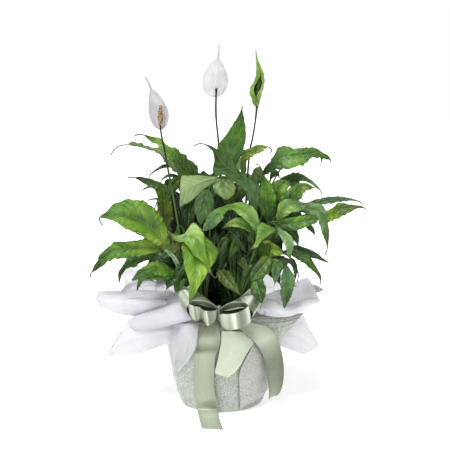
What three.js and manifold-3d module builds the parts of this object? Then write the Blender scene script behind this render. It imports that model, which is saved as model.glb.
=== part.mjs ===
// Potted peace lily in a tied cloth wrap. Millimetres, +Z up, the flat underside at z = 0 and the
// pot's axis on the Z axis. The front, with the bow, looks along -Y.
import * as THREE from 'three';
import { mergeVertices } from 'three/addons/utils/BufferGeometryUtils.js';
import Module from 'manifold-3d';

const wasm = await Module();
wasm.setup();

// ---------------------------------------------------------------- driving dimensions
const CLEARANCE = 0.3; // gap kept between pieces that touch

const POT_HEIGHT = 158;
const POT_BASE_Z = 2;
const POT_TOP_RADIUS = 85;
const POT_BASE_RADIUS = 64;
const POT_WALL = 1.6;
const POT_RIM = 2.2; // how far the rolled rim stands out
const SOIL_TOP_Z = 146;

const CLOTH = 1; // thickness of every sheet
const NECK_RADIUS = 78; // outer sheet under the ribbon
const RIBBON_THICKNESS = 0.8;
const RIBBON_WIDTH = 38;
const BAND_BOTTOM_Z = 180;
const BAND_TOP_Z = 205;

const PETIOLE_RADIUS = 2.1;
const LEAF_THICKNESS = 1;
const HAIR_HALF_WIDTH = 0.7; // half width of a leaf's drawn-out tip
const CROWN_RADIUS = 10;
const CROWN_BOTTOM_Z = 112;
const CROWN_TOP_Z = 156;

// Leaves, stems and sheets are drawn as the plant is seen from the front: x and z are read on the
// upright plane through the axis, y is the depth behind it, and the viewer stands at VIEWER.
const VIEWER = new THREE.Vector3(7.2, -2127, 702);

// ---------------------------------------------------------------- colours
const finish = (color, roughness, metalness = 0) =>
  new THREE.MeshStandardMaterial({ color, roughness, metalness, side: THREE.DoubleSide });
const LEAF = finish(0x3f7a22, 0.45);
const PEDUNCLE = finish(0x55802f, 0.55);
const SPATHE = finish(0xf4f3f1, 0.6);
const BUD = finish(0x7ba04a, 0.55);
const SPADIX = finish(0xc8b48a, 0.8);
const BUD_SPADIX = finish(0x4d5a2c, 0.8);
const SOIL = finish(0x2a2019, 1);
const POT = finish(0x2b2e2b, 0.6);
const GLITTER = finish(0xc8cdc6, 0.5, 0.2);
const PANEL = finish(0xbcbcb7, 0.6, 0.1);
const SHEER = finish(0xeef0f6, 0.9);
const LINING = finish(0xcdd9c0, 0.7);
const SATIN = finish(0xafb9a5, 0.35);

// ---------------------------------------------------------------- small helpers
const vec = (x, y, z) => new THREE.Vector3(x, y, z);
const radians = THREE.MathUtils.degToRad;
const mix = THREE.MathUtils.lerp;

// The real point that is seen at (x, z) of the front elevation when it lies y behind the axis.
function seen(x, y, z) {
  const onPlane = vec(x, 0, z);
  const sight = onPlane.clone().sub(VIEWER).divideScalar(-VIEWER.y);
  return onPlane.addScaledVector(sight, y);
}

// Table lookup, eased from row to row: rows of [key, value...] in rising key order.
function tableAt(rows, key) {
  let k = 0;
  while (k < rows.length - 2 && key > rows[k + 1][0]) k += 1;
  const [low, high] = [rows[k], rows[k + 1]];
  const t = THREE.MathUtils.clamp((key - low[0]) / (high[0] - low[0]), 0, 1);
  const eased = t * t * (3 - 2 * t);
  return low.slice(1).map((value, n) => mix(value, high[n + 1], eased));
}

function geometryOf(points, triangles) {
  const geometry = new THREE.BufferGeometry();
  const numbers = points.flatMap((point) => point.toArray());
  geometry.setAttribute('position', new THREE.Float32BufferAttribute(numbers, 3));
  geometry.setIndex(triangles.flat());
  return geometry;
}

// A closed solid through rings of equal size. flips[k] turns the diagonal of side k, so that the
// two faces of a thin blade are split alike.
function loft(rings, flips = []) {
  const size = rings[0].length;
  const points = rings.flat();
  const triangles = [];
  for (let r = 0; r < rings.length - 1; r += 1) {
    for (let k = 0; k < size; k += 1) {
      const a = r * size + k;
      const b = r * size + ((k + 1) % size);
      const [c, d] = [a + size, b + size];
      if (flips[k]) triangles.push([a, b, c], [b, d, c]);
      else triangles.push([a, b, d], [a, d, c]);
    }
  }
  const last = (rings.length - 1) * size;
  for (let k = 1; k < size - 1; k += 1) {
    triangles.push([0, k + 1, k], [last, last + k, last + k + 1]);
  }
  return geometryOf(points, triangles);
}

// A sheet of even thickness from a grid of points, rows[i][j]. Both faces are split alike.
function slab(rows, thickness) {
  const [m, n] = [rows.length, rows[0].length];
  const at = (i, j) => rows[THREE.MathUtils.clamp(i, 0, m - 1)][THREE.MathUtils.clamp(j, 0, n - 1)];
  const front = [];
  const back = [];
  for (let i = 0; i < m; i += 1) {
    for (let j = 0; j < n; j += 1) {
      const along = at(i + 1, j).clone().sub(at(i - 1, j));
      const across = at(i, j + 1).clone().sub(at(i, j - 1));
      const normal = along.cross(across).normalize().multiplyScalar(thickness / 2);
      front.push(at(i, j).clone().add(normal));
      back.push(at(i, j).clone().sub(normal));
    }
  }
  const triangles = [];
  const lift = m * n;
  const wall = (a, b) => triangles.push([a, b, a + lift], [b, b + lift, a + lift]);
  for (let i = 0; i < m - 1; i += 1) {
    for (let j = 0; j < n - 1; j += 1) {
      const [a, b, c, d] = [i * n + j, i * n + j + 1, (i + 1) * n + j, (i + 1) * n + j + 1];
      triangles.push([a, c, d], [a, d, b]);
      triangles.push([a + lift, d + lift, c + lift], [a + lift, b + lift, d + lift]);
    }
  }
  for (let j = 0; j < n - 1; j += 1) {
    wall(j, j + 1);
    wall((m - 1) * n + j + 1, (m - 1) * n + j);
  }
  for (let i = 0; i < m - 1; i += 1) {
    wall((i + 1) * n, i * n);
    wall(i * n + n - 1, (i + 1) * n + n - 1);
  }
  return geometryOf([...front, ...back], triangles);
}

// Solids for joining and cutting.
function solidOf(geometry) {
  const plain = geometry.clone();
  plain.deleteAttribute('normal');
  plain.deleteAttribute('uv');
  const merged = mergeVertices(plain, 1e-4);
  const vertProperties = merged.attributes.position.array;
  const triVerts = Uint32Array.from(merged.index.array);
  return new wasm.Manifold(new wasm.Mesh({ numProp: 3, vertProperties, triVerts }));
}

function geometryFrom(solid) {
  const mesh = solid.getMesh();
  const geometry = new THREE.BufferGeometry();
  geometry.setAttribute('position', new THREE.BufferAttribute(mesh.vertProperties, 3));
  geometry.setIndex(new THREE.BufferAttribute(mesh.triVerts, 1));
  return geometry;
}

// The largest body of a joined solid: scraps pinched off by crossing blades are dropped.
function largestBody(solid) {
  const bodies = solid.decompose();
  bodies.sort((a, b) => b.volume() - a.volume());
  return bodies[0];
}

const joined = (geometries) =>
  geometryFrom(largestBody(geometries.map(solidOf).reduce((sum, solid) => sum.add(solid))));

const plant = new THREE.Group();
function place(name, geometry, material) {
  const mesh = new THREE.Mesh(geometry, material);
  mesh.name = name;
  plant.add(mesh);
}

// ---------------------------------------------------------------- leaves
// Share of the full width at s, from the blade's base (0) to its tip (1): a lance with a long point.
function bladeShape(s) {
  const [rise, fall] = [0.8, 1.42];
  const widest = rise / (rise + fall);
  const peak = widest ** rise * (1 - widest) ** fall;
  return (s ** rise * (1 - s) ** fall) / peak;
}

// Points and frames along a stalk and its blade. The frame's normal starts from the side that the
// blade faces at its middle and turns no more than the curve does.
function leafFrames(root, base, middle, tip, tilt, stalkSteps, bladeSteps) {
  const control = middle.clone().multiplyScalar(2).addScaledVector(base, -0.5).addScaledVector(tip, -0.5);
  const blade = new THREE.QuadraticBezierCurve3(base, control, tip);
  const reach = root.distanceTo(base);
  const start = root.clone().add(vec(0, 0, 0.65 * reach));
  const end = base.clone().addScaledVector(blade.getTangent(0), -0.2 * reach);
  const stalk = new THREE.CubicBezierCurve3(root, start, end, base);
  const frames = [];
  for (let k = 0; k < stalkSteps; k += 1) {
    const t = k / stalkSteps;
    frames.push({ point: stalk.getPoint(t), tangent: stalk.getTangent(t), blade: -1 });
  }
  for (let k = 0; k <= bladeSteps; k += 1) {
    const t = k / bladeSteps;
    frames.push({ point: blade.getPoint(t), tangent: blade.getTangent(t), blade: t });
  }
  const centre = stalkSteps + Math.round(bladeSteps / 2);
  const facing = vec(0, -Math.cos(radians(tilt)), Math.sin(radians(tilt)));
  const turned = (normal, frame) =>
    normal.clone().addScaledVector(frame.tangent, -normal.dot(frame.tangent)).normalize();
  frames[centre].normal = turned(facing, frames[centre]);
  for (let k = centre + 1; k < frames.length; k += 1) {
    frames[k].normal = turned(frames[k - 1].normal, frames[k]);
  }
  for (let k = centre - 1; k >= 0; k -= 1) {
    frames[k].normal = turned(frames[k + 1].normal, frames[k]);
  }
  return frames;
}

const LEAF_FLIPS = [0, 0, 1, 0, 0, 1]; // top and under side of a blade are split alike
const KEEL = 0.28; // how far a blade's halves rise from its midrib
const WAVE = 0.09; // height of the waves along a blade's edge, as a share of its half width
const WAVES = 3.5; // waves from base to tip

function leafGeometry(root, base, middle, tip, width, tilt) {
  const bladeSteps = 5 + (width > 20) + (width > 36);
  const frames = leafFrames(root, base, middle, tip, tilt, 3, bladeSteps);
  const rings = frames.map(({ point, tangent, normal, blade }) => {
    const side = normal.clone().cross(tangent).normalize();
    const spot = (across, up) => point.clone().addScaledVector(side, across).addScaledVector(normal, up);
    if (blade <= 0) {
      const r = PETIOLE_RADIUS * (blade < 0 ? 1 : 0.8);
      return [spot(0, r), spot(-r, r / 2), spot(-r, -r / 2), spot(0, -r), spot(r, -r / 2), spot(r, r / 2)];
    }
    const half = Math.max(HAIR_HALF_WIDTH, (width / 2) * bladeShape(blade));
    const wave = WAVE * half * Math.sin(2 * Math.PI * WAVES * blade + width);
    const edge = KEEL * half;
    const [rib, rim] = [LEAF_THICKNESS * 0.7, LEAF_THICKNESS * 0.35];
    return [
      spot(0, rib), spot(-half, edge + wave + rim), spot(-half, edge + wave - rim),
      spot(0, -rib), spot(half, edge - wave - rim), spot(half, edge - wave + rim),
    ];
  });
  return loft(rings, LEAF_FLIPS);
}

// Crowns stand in the soil, and the leaves of one crown grow from it as one shoot.
const CROWNS = {
  front_left: [-30, -40], front_right: [28, -42], left: [-48, -2], right: [48, -2],
  back_left: [-32, 40], back_right: [34, 38], middle: [-2, 4],
};

// Each leaf: base, middle and tip of its blade as [x, y, z] in the front elevation, width, and the
// tilt of its upper side in degrees: 0 to the front, 90 upward, 180 to the back.
const LEAVES = {
  front_left: [
    [[-90, -50, 300], [-46, -72, 303], [-14, -88, 233], 34, 0],
    [[-42, -40, 318], [-42, -68, 250], [-57, -98, 184], 54, -5],
    [[-79, -66, 318], [-84, -69, 285], [-86, -72, 250], 18, 0],
    [[-16, -52, 396], [-30, -64, 356], [-38, -72, 315], 50, 5],
    [[-52, -24, 385], [-60, -34, 350], [-66, -42, 318], 26, 10],
    [[-80, -48, 240], [-122, -62, 242], [-162, -72, 225], 38, 25],
    [[-90, -58, 248], [-128, -74, 242], [-151, -84, 207], 18, 30],
    [[-72, -46, 243], [-96, -58, 276], [-120, -62, 293], 16, 40],
  ],
  front_right: [
    [[-4, -60, 244], [15, -80, 222], [42, -106, 190], 26, 15],
    [[34, -34, 282], [44, -44, 250], [41, -52, 226], 12, 20],
    [[62, -72, 232], [69, -92, 204], [76, -108, 172], 28, 0],
    [[92, -54, 268], [76, -68, 246], [57, -80, 222], 30, 20],
    [[66, -58, 302], [50, -70, 347], [0, -80, 345], 28, 20],
    [[62, -48, 312], [34, -58, 331], [2, -64, 321], 20, 20],
    [[64, -36, 352], [14, -44, 428], [-49, -40, 471], 46, 20],
    [[14, -12, 302], [-6, -18, 292], [-29, -24, 282], 18, 20],
    [[22, -26, 288], [2, -40, 268], [-4, -50, 236], 16, 20],
    [[26, -30, 288], [42, -46, 262], [40, -56, 226], 20, 15],
  ],
  left: [
    [[-70, -8, 410], [-101, -12, 402], [-107, -16, 360], 26, 10],
    [[-88, 2, 352], [-116, -2, 391], [-176, -6, 413], 36, 35],
    [[-92, 12, 350], [-112, 14, 372], [-139, 14, 371], 14, 60],
    [[-125, -2, 272], [-163, -6, 260], [-186, -10, 225], 20, 30],
    [[-98, -28, 292], [-150, -38, 341], [-221, -44, 336], 64, 8],
    [[-107, -14, 287], [-165, -22, 286], [-237, -30, 228], 38, 28],
    [[-72, 22, 415], [-115, 28, 463], [-199, 28, 447], 30, 85],
    [[-72, 30, 416], [-104, 32, 430], [-134, 30, 413], 22, 85],
    [[-98, 26, 372], [-120, 28, 396], [-142, 26, 388], 14, 80],
  ],
  right: [
    [[84, -18, 335], [84, -24, 378], [79, -28, 420], 34, 5],
    [[92, -8, 345], [106, -12, 384], [118, -16, 408], 34, 10],
    [[74, 2, 416], [130, -2, 450], [195, -10, 443], 44, 20],
    [[92, 10, 395], [128, 8, 412], [180, 4, 386], 26, 55],
    [[104, -25, 358], [136, -32, 388], [167, -38, 396], 28, 15],
    [[98, -36, 325], [122, -42, 362], [152, -48, 371], 36, 20],
    [[128, -20, 352], [190, -28, 352], [260, -34, 357], 32, 20],
    [[130, 10, 350], [200, 8, 372], [261, 5, 362], 24, 85],
    [[150, -34, 358], [186, -42, 335], [187, -48, 273], 16, 10],
    [[100, -46, 318], [136, -56, 338], [173, -62, 336], 28, 15],
    [[135, -18, 333], [163, -20, 320], [174, -22, 301], 11, 10],
    [[104, -30, 330], [128, -38, 312], [143, -42, 291], 26, 10],
    [[101, -62, 324], [117, -72, 297], [123, -80, 262], 20, 5],
    [[120, -35, 284], [156, -42, 278], [195, -50, 257], 20, 20],
    [[122, -48, 279], [157, -58, 263], [181, -66, 218], 18, 20],
    [[120, -72, 250], [123, -86, 215], [115, -98, 174], 20, 0],
    [[124, -52, 268], [134, -60, 243], [131, -66, 208], 12, 60],
    [[110, -62, 262], [100, -76, 244], [98, -86, 213], 20, 10],
    [[86, -50, 246], [104, -58, 256], [122, -62, 256], 18, 25],
    [[62, -30, 262], [86, -42, 290], [118, -50, 280], 30, 25],
    [[104, -52, 323], [80, -62, 314], [52, -72, 282], 28, 10],
  ],
  back_left: [
    [[-36, 44, 262], [-34, 36, 232], [-28, 30, 196], 34, 10],
    [[-12, 46, 275], [-10, 40, 242], [-8, 34, 206], 28, 10],
  ],
  back_right: [
    [[26, 44, 268], [22, 38, 238], [16, 32, 200], 32, 10],
    [[46, 42, 270], [48, 34, 240], [46, 28, 206], 30, 10],
  ],
  middle: [
    [[25, 0, 428], [21, -6, 478], [38, -10, 533], 42, 5],
    [[40, -6, 415], [52, -12, 459], [91, -14, 460], 18, 40],
    [[4, -18, 420], [11, -26, 398], [12, -30, 372], 26, 150],
    [[-8, -28, 412], [-46, -42, 392], [-66, -52, 350], 44, 168],
    [[-12, 2, 412], [-72, 4, 445], [-154, 10, 488], 38, 30],
  ],
};

// Leaves behind, which the front view does not show: three tiers that turn round the back.
const BACK_TIERS = [
  { reach: 185, baseRadius: 95, baseZ: 262, midZ: 292, tipZ: 236, width: 36 },
  { reach: 160, baseRadius: 80, baseZ: 330, midZ: 368, tipZ: 322, width: 36 },
  { reach: 120, baseRadius: 48, baseZ: 392, midZ: 436, tipZ: 410, width: 36 },
];
const BACK_LEAVES = [
  ['left', 158, 0], ['back_left', 126, 0], ['back_right', 90, 0], ['back_right', 62, 0], ['right', 30, 0],
  ['left', 146, 1], ['back_left', 112, 1], ['back_right', 78, 1], ['right', 40, 1], ['back_left', 130, 2],
  ['back_left', 108, 2], ['back_right', 70, 2], ['middle', 48, 2],
];

function backLeaf(azimuth, tier) {
  const { reach, baseRadius, baseZ, midZ, tipZ, width } = BACK_TIERS[tier];
  const out = vec(Math.cos(radians(azimuth)), Math.sin(radians(azimuth)), 0);
  const spot = (radius, z) => out.clone().multiplyScalar(radius).add(vec(0, 0, z));
  return [spot(baseRadius, baseZ), spot(mix(baseRadius, reach, 0.55), midZ), spot(reach, tipZ), width, 70];
}

const crownRoot = (crown, base) => {
  const centre = vec(...CROWNS[crown], CROWN_TOP_Z - 16);
  const away = vec(base.x - centre.x, base.y - centre.y, 0).normalize();
  return centre.addScaledVector(away, CROWN_RADIUS * 0.2);
};

function crownGeometry([x, y]) {
  const height = CROWN_TOP_Z - CROWN_BOTTOM_Z;
  const stub = new THREE.CylinderGeometry(CROWN_RADIUS * 0.8, CROWN_RADIUS, height, 8);
  stub.rotateX(Math.PI / 2);
  stub.translate(x, y, CROWN_BOTTOM_Z + height / 2);
  return stub;
}

for (const [crown, centre] of Object.entries(CROWNS)) {
  const drawn = (LEAVES[crown] ?? []).map(([base, middle, tip, width, tilt]) =>
    [seen(...base), seen(...middle), seen(...tip), width, tilt]);
  const behind = BACK_LEAVES.filter(([owner]) => owner === crown)
    .map(([, azimuth, tier]) => backLeaf(azimuth, tier));
  const leaves = [...drawn, ...behind].map(([base, middle, tip, width, tilt]) =>
    leafGeometry(crownRoot(crown, base), base, middle, tip, width, tilt));
  place(`shoot_${crown}`, joined([crownGeometry(centre), ...leaves]), LEAF);
}

// ---------------------------------------------------------------- flowers
// A round stem through points of the front elevation, from its hole in the soil to its top.
function stemGeometry(points, radius, tipRadius) {
  const curve = new THREE.CatmullRomCurve3(points, false, 'centripetal');
  const steps = 10;
  const rings = [];
  for (let k = 0; k <= steps; k += 1) {
    const centre = curve.getPoint(k / steps);
    const tangent = curve.getTangent(k / steps);
    const side = tangent.clone().cross(vec(0, 1, 0)).normalize();
    const front = tangent.clone().cross(side).normalize();
    const r = mix(radius, tipRadius, k / steps);
    rings.push(roundRing(centre, side, front, r, 6));
  }
  return loft(rings);
}

// Points round a centre, in the turning sense that loft takes for rings met along side x front.
function roundRing(centre, side, front, radius, count) {
  return Array.from({ length: count }, (_, k) => {
    const angle = (2 * Math.PI * k) / count;
    return centre.clone().addScaledVector(side, radius * Math.cos(angle))
      .addScaledVector(front, radius * Math.sin(angle));
  });
}

const STEM_RADIUS = 2;
const STEM_TIP_RADIUS = 1.5;
const STEM_FOOT_Z = 118;
const SPADIX_RADIUS = 4.4;

// A spadix: a blunt rod whose florets stand out as rings of low knobs.
function spadixGeometry(foot, top, radius) {
  const axis = top.clone().sub(foot);
  const tangent = axis.clone().normalize();
  const side = tangent.clone().cross(vec(0, 1, 0)).normalize();
  const front = tangent.clone().cross(side).normalize();
  const rows = 7;
  const rings = [];
  for (let k = 0; k <= rows; k += 1) {
    const t = k / rows;
    const round = Math.sqrt(Math.max(0.05, 1 - (2 * t - 1) ** 4));
    const centre = foot.clone().addScaledVector(axis, t);
    rings.push(roundRing(centre, side, front, radius * round, 8).map((point, n) => {
      const knob = (n + k) % 2 ? 0.12 : -0.02;
      return point.addScaledVector(point.clone().sub(centre), knob);
    }));
  }
  return loft(rings);
}

// A spathe: a leaf-like hood, rolled round the spadix by cup and drawn out to a hair.
function spatheGeometry(base, middle, tip, width, tilt, cup) {
  const frames = leafFrames(base, base, middle, tip, tilt, 0, 8);
  const across = [-1, -0.55, 0, 0.55, 1];
  const rows = frames.map(({ point, tangent, normal, blade }) => {
    const side = normal.clone().cross(tangent).normalize();
    const half = Math.max(HAIR_HALF_WIDTH, (width / 2) * spatheShape(blade));
    return across.map((a) => {
      const turn = a * cup;
      const [out, up] = cup ? [Math.sin(turn) / cup, (1 - Math.cos(turn)) / cup] : [a, 0];
      return point.clone().addScaledVector(side, half * out).addScaledVector(normal, half * up);
    });
  });
  return slab(rows, LEAF_THICKNESS);
}

// Share of a spathe's full width at s: round below, then a long point that ends in a hair.
function spatheShape(s) {
  const body = Math.min(1, s / 0.82);
  return 1.02 * Math.sin(Math.PI * body ** 0.72) ** 0.75 * (1 - 0.12 * body) + 0.12 * (1 - s);
}

// Stems run from their tops down, and each spathe and spadix is given by points of its own axis.
const FLOWERS = {
  left: {
    stem: [
      [-108, -46, 498], [-101, -46, 466], [-95, -46, 430], [-88, -46, 394], [-77, -44, 327], [-66, -36, 250],
    ],
    root: [-50, -24],
    spathe: [[-108, -42, 499], [-113, -38, 541], [-133, -40, 592]],
    width: 36, tilt: 8, cup: 0.9,
    spadix: [[-107, -47, 500], [-107, -49, 537]],
    petal: SPATHE, rod: SPADIX,
  },
  centre: {
    stem: [
      [-8, 12, 572], [-9, 12, 537], [-8, 12, 513], [-5, 12, 483], [-2, 12, 440], [-4, 12, 330], [-8, 14, 230],
    ],
    root: [-12, 18],
    spathe: [[-14, 16, 556], [-10, 20, 597], [-2, 24, 648]],
    width: 46, tilt: 176, cup: 0.7,
    spadix: [[-9, 26, 575], [-7, 28, 612]],
    petal: SPATHE, rod: SPADIX,
  },
  right: {
    stem: [[64, 6, 540], [60, 6, 507], [56, 6, 483], [52, 6, 465], [49, 6, 436], [44, 6, 360], [34, 8, 250]],
    root: [22, 10],
    spathe: [[63, 9, 541], [65, 12, 580], [61, 10, 639]],
    width: 40, tilt: 30, cup: 1.35,
    spadix: [[64, 4, 546], [66, 2, 592]],
    petal: BUD, rod: BUD_SPADIX,
  },
};

function stemPath({ stem, root: [x, y] }) {
  const path = stem.map((point) => seen(...point)).reverse();
  return [vec(x, y, STEM_FOOT_Z), vec(x, y, SOIL_TOP_Z + 6), ...path];
}

for (const [name, flower] of Object.entries(FLOWERS)) {
  const [base, middle, tip] = flower.spathe.map((point) => seen(...point));
  const [low, high] = flower.spadix.map((point) => seen(...point));
  const { width, tilt, cup, petal, rod } = flower;
  place(`flower_${name}_stem`, stemGeometry(stemPath(flower), STEM_RADIUS, STEM_TIP_RADIUS), PEDUNCLE);
  place(`flower_${name}_spathe`, spatheGeometry(base, middle, tip, width, tilt, cup), petal);
  place(`flower_${name}_spadix`, spadixGeometry(low, high, SPADIX_RADIUS), rod);
}

// ---------------------------------------------------------------- pot and soil
function lathe(profile, sides) {
  const geometry = new THREE.LatheGeometry(profile.map(([r, z]) => new THREE.Vector2(r, z)), sides);
  geometry.rotateX(Math.PI / 2);
  return geometry;
}

const POT_SIDES = 24;
const potRadius = (z) => mix(POT_BASE_RADIUS, POT_TOP_RADIUS, (z - POT_BASE_Z) / POT_HEIGHT);
const potTop = POT_BASE_Z + POT_HEIGHT;
const floorZ = POT_BASE_Z + 2 * POT_WALL;
place('pot', lathe([
  [0, POT_BASE_Z], [POT_BASE_RADIUS - 2, POT_BASE_Z], [POT_BASE_RADIUS, POT_BASE_Z + 2],
  [potRadius(potTop - 12), potTop - 12], [POT_TOP_RADIUS + POT_RIM, potTop - 11],
  [POT_TOP_RADIUS + POT_RIM, potTop], [POT_TOP_RADIUS - POT_WALL, potTop],
  [potRadius(floorZ) - POT_WALL, floorZ], [0, floorZ],
], POT_SIDES), POT);

function soilSolid() {
  const bottom = floorZ + CLEARANCE;
  const inner = (z) => (potRadius(z) - POT_WALL - CLEARANCE) * Math.cos(Math.PI / POT_SIDES);
  const heap = lathe([
    [0, bottom], [inner(bottom) - 1, bottom], [inner(SOIL_TOP_Z - 3), SOIL_TOP_Z - 3],
    [inner(SOIL_TOP_Z) - 6, SOIL_TOP_Z], [0, SOIL_TOP_Z + 2],
  ], POT_SIDES);
  const hole = (x, y, radius, depth) => {
    const drill = new THREE.CylinderGeometry(radius, radius, 2 * depth, 10);
    drill.rotateX(Math.PI / 2);
    drill.translate(x, y, SOIL_TOP_Z);
    return solidOf(drill);
  };
  const crownDepth = SOIL_TOP_Z - CROWN_BOTTOM_Z + CLEARANCE;
  const stemDepth = SOIL_TOP_Z - STEM_FOOT_Z + CLEARANCE;
  const holes = [
    ...Object.values(CROWNS).map(([x, y]) => hole(x, y, CROWN_RADIUS * 1.06 + CLEARANCE, crownDepth)),
    ...Object.values(FLOWERS).map(({ root: [x, y] }) => hole(x, y, STEM_RADIUS + 3 * CLEARANCE, stemDepth)),
  ];
  return holes.reduce((soil, drill) => soil.subtract(drill), solidOf(heap));
}
place('soil', geometryFrom(soilSolid()), SOIL);

// ---------------------------------------------------------------- outer wrap
const turn = (azimuth, radius, z) =>
  vec(radius * Math.cos(radians(azimuth)), radius * Math.sin(radians(azimuth)), z);

// Height of the wrap's outer face, its radius, and the depth of its pleats there.
const WRAP_PROFILE = [
  [0, 74, 0.8], [10, 79, 1], [30, 86, 1.3], [55, 91.5, 1.6], [80, 95, 1.8], [110, 96.5, 1.8],
  [140, 95.5, 1.6], [156, 92.5, 1.2], [171, 82, 0.8], [180, NECK_RADIUS, 0.3], [208, NECK_RADIUS, 0.3],
];
const PLEATS = [[5, 20, 0.6], [8, 75, 0.4], [13, 130, 0.3]]; // pleats per turn, phase, share

function wrapRadius(azimuth, z) {
  const [radius, depth] = tableAt(WRAP_PROFILE, z);
  const pleat = PLEATS.reduce((sum, [count, phase, share]) =>
    sum + share * Math.cos(radians(count * azimuth + phase)), 0);
  return radius + depth * pleat;
}

const WRAP_COLUMNS = 32;
const WRAP_LEVELS = [0, 14, 36, 64, 96, 132, 156, 168, 180, 208];

function wrapGeometry() {
  const azimuths = Array.from({ length: WRAP_COLUMNS }, (_, k) => (360 * k) / WRAP_COLUMNS);
  const ring = (z, inset) => azimuths.map((a) => turn(a, wrapRadius(a, z) - inset, z));
  const outer = WRAP_LEVELS.map((z) => ring(z, 0));
  const inner = WRAP_LEVELS.map((z, k) => ring(z, CLOTH).map((p) => (k ? p : p.setZ(CLOTH))));
  return loft([...outer, ...inner.reverse()]);
}
place('wrap_outer', wrapGeometry(), GLITTER);

// ---------------------------------------------------------------- sheets
// The point of a sheet laid over the wrap, off it by the given distance, seen at (x, z).
function draped(x, off, z) {
  let y = -POT_TOP_RADIUS;
  for (let k = 0; k < 12; k += 1) {
    const point = seen(x, y, z);
    const azimuth = THREE.MathUtils.radToDeg(Math.atan2(point.y, point.x));
    const radius = wrapRadius(azimuth, Math.max(0, point.z)) + off;
    y = -Math.sqrt(Math.max(1, radius ** 2 - point.x ** 2));
  }
  const point = seen(x, y, z);
  return point.setZ(Math.max(point.z, CLOTH));
}

// Rows of a sheet between two edges. An edge is a list of points, and at() makes each a real point.
function between(left, right, columns, at) {
  return left.map((start, i) => Array.from({ length: columns + 1 }, (_, j) =>
    at(...start.map((value, k) => mix(value, right[i][k], j / columns)))));
}

// A stiff darker panel over the front of the wrap, below the right of the bow.
const PANEL_OFF = 2;
const PANEL_LEFT = [[60, 110], [48, 85], [36, 60], [33, 40], [34, 15], [35, -5], [35, -19]];
const PANEL_RIGHT = [[66, 108], [76, 88], [81, 62], [82, 40], [81, 25], [79, 14], [72, 3]];
const offWrap = (off) => (x, z) => draped(x, off, z);
place('wrap_front_panel', slab(between(PANEL_LEFT, PANEL_RIGHT, 4, offWrap(PANEL_OFF)), CLOTH), PANEL);

// The lining's corner is folded out and hangs down the front, over the panel.
const FLAP_OFF = 4.6;
const FLAP_LEFT = [[1, 130], [0, 118], [-2, 98], [-5, 80], [-9, 64], [-12, 51], [-3, 47], [8, 43]];
const FLAP_RIGHT = [[46, 128], [60, 112], [53, 97], [43, 79], [34, 62], [24, 52], [17, 47], [12, 43]];
place('lining_flap', slab(between(FLAP_LEFT, FLAP_RIGHT, 5, offWrap(FLAP_OFF)), CLOTH), LINING);

// A sheer corner that clings to the wrap at the left of the front: azimuth and height of its hem.
const DRAPE_HEM = [[-176, 118], [-165, 92], [-152, 62], [-140, 80], [-128, 105], [-118, 128]];
const DRAPE_TOP_Z = 152;
const DRAPE_OFF = 2.4;
function drapeRows() {
  const [from, to] = [DRAPE_HEM[0][0], DRAPE_HEM[DRAPE_HEM.length - 1][0]];
  const [rows, columns] = [5, 8];
  return Array.from({ length: rows + 1 }, (_, i) => Array.from({ length: columns + 1 }, (__, j) => {
    const azimuth = mix(from, to, j / columns);
    const z = mix(DRAPE_TOP_Z, tableAt(DRAPE_HEM, azimuth)[0], i / rows);
    return turn(azimuth, wrapRadius(azimuth, z) + DRAPE_OFF, z);
  }));
}
place('sheer_drape_left', slab(drapeRows(), CLOTH), SHEER);

// Corners that stick out from the neck. Each edge runs outward, as [x, y, z] in the front elevation.
const CORNERS = {
  sheer_corner_left: [
    [[-90, -8, 182], [-122, -8, 174], [-170, -8, 152], [-203, -8, 100]],
    [[-92, -40, 160], [-102, -42, 114], [-140, -34, 88], [-208, -14, 82]],
    SHEER,
  ],
  sheer_corner_right: [
    [[94, -30, 165], [122, -24, 160], [150, -18, 156], [178, -8, 106]],
    [[96, -42, 140], [106, -38, 110], [122, -32, 96], [155, -20, 87]],
    SHEER,
  ],
  wrap_corner_right: [
    [[56, -96, 150], [80, -84, 150], [114, -62, 154], [148, -38, 158]],
    [[50, -103, 129], [62, -99, 111], [86, -80, 108], [103, -62, 107]],
    GLITTER,
  ],
};
for (const [name, [upper, lower, cloth]] of Object.entries(CORNERS)) {
  place(name, slab(between(upper, lower, 4, seen), CLOTH), cloth);
}

// Radius and height of the sheer collar's rim by azimuth, from the right of the bow round the back.
const COLLAR_RIM = [
  [-40, 119, 177], [-20, 141, 174], [-5, 166, 184], [3, 188, 204], [13, 166, 226], [24, 150, 232],
  [40, 166, 206], [58, 144, 222], [76, 168, 200], [94, 140, 226], [112, 166, 202], [130, 148, 220],
  [148, 160, 214], [158, 168, 218], [168, 196, 206], [180, 228, 190], [189, 192, 172], [201, 170, 156],
  [215, 132, 158], [226, 112, 170], [232, 98, 184],
];
const COLLAR_COLUMNS = 32;
const COLLAR_NECK = [[75.6, 186], [75.6, 209], [80, 218]]; // radius and height up the neck
const COLLAR_OUT = [0.3, 0.65, 1]; // shares of the way from the neck to the rim
const COLLAR_ARCH = 14; // how far the cloth arches between neck and rim

function collarRows() {
  const [from, to] = [COLLAR_RIM[0][0], COLLAR_RIM[COLLAR_RIM.length - 1][0]];
  const azimuths = Array.from({ length: COLLAR_COLUMNS + 1 }, (_, k) => mix(from, to, k / COLLAR_COLUMNS));
  const [topRadius, topZ] = COLLAR_NECK[COLLAR_NECK.length - 1];
  const neck = COLLAR_NECK.map(([radius, z]) => azimuths.map((a) => turn(a, radius, z)));
  const out = COLLAR_OUT.map((share) => azimuths.map((a) => {
    const [radius, z] = tableAt(COLLAR_RIM, a);
    const arch = COLLAR_ARCH * share * (1 - share);
    return turn(a, mix(topRadius, radius, share), mix(topZ, z, share ** 1.4) + arch);
  }));
  return [...neck, ...out];
}
place('sheer_collar', slab(collarRows(), CLOTH), SHEER);

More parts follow.
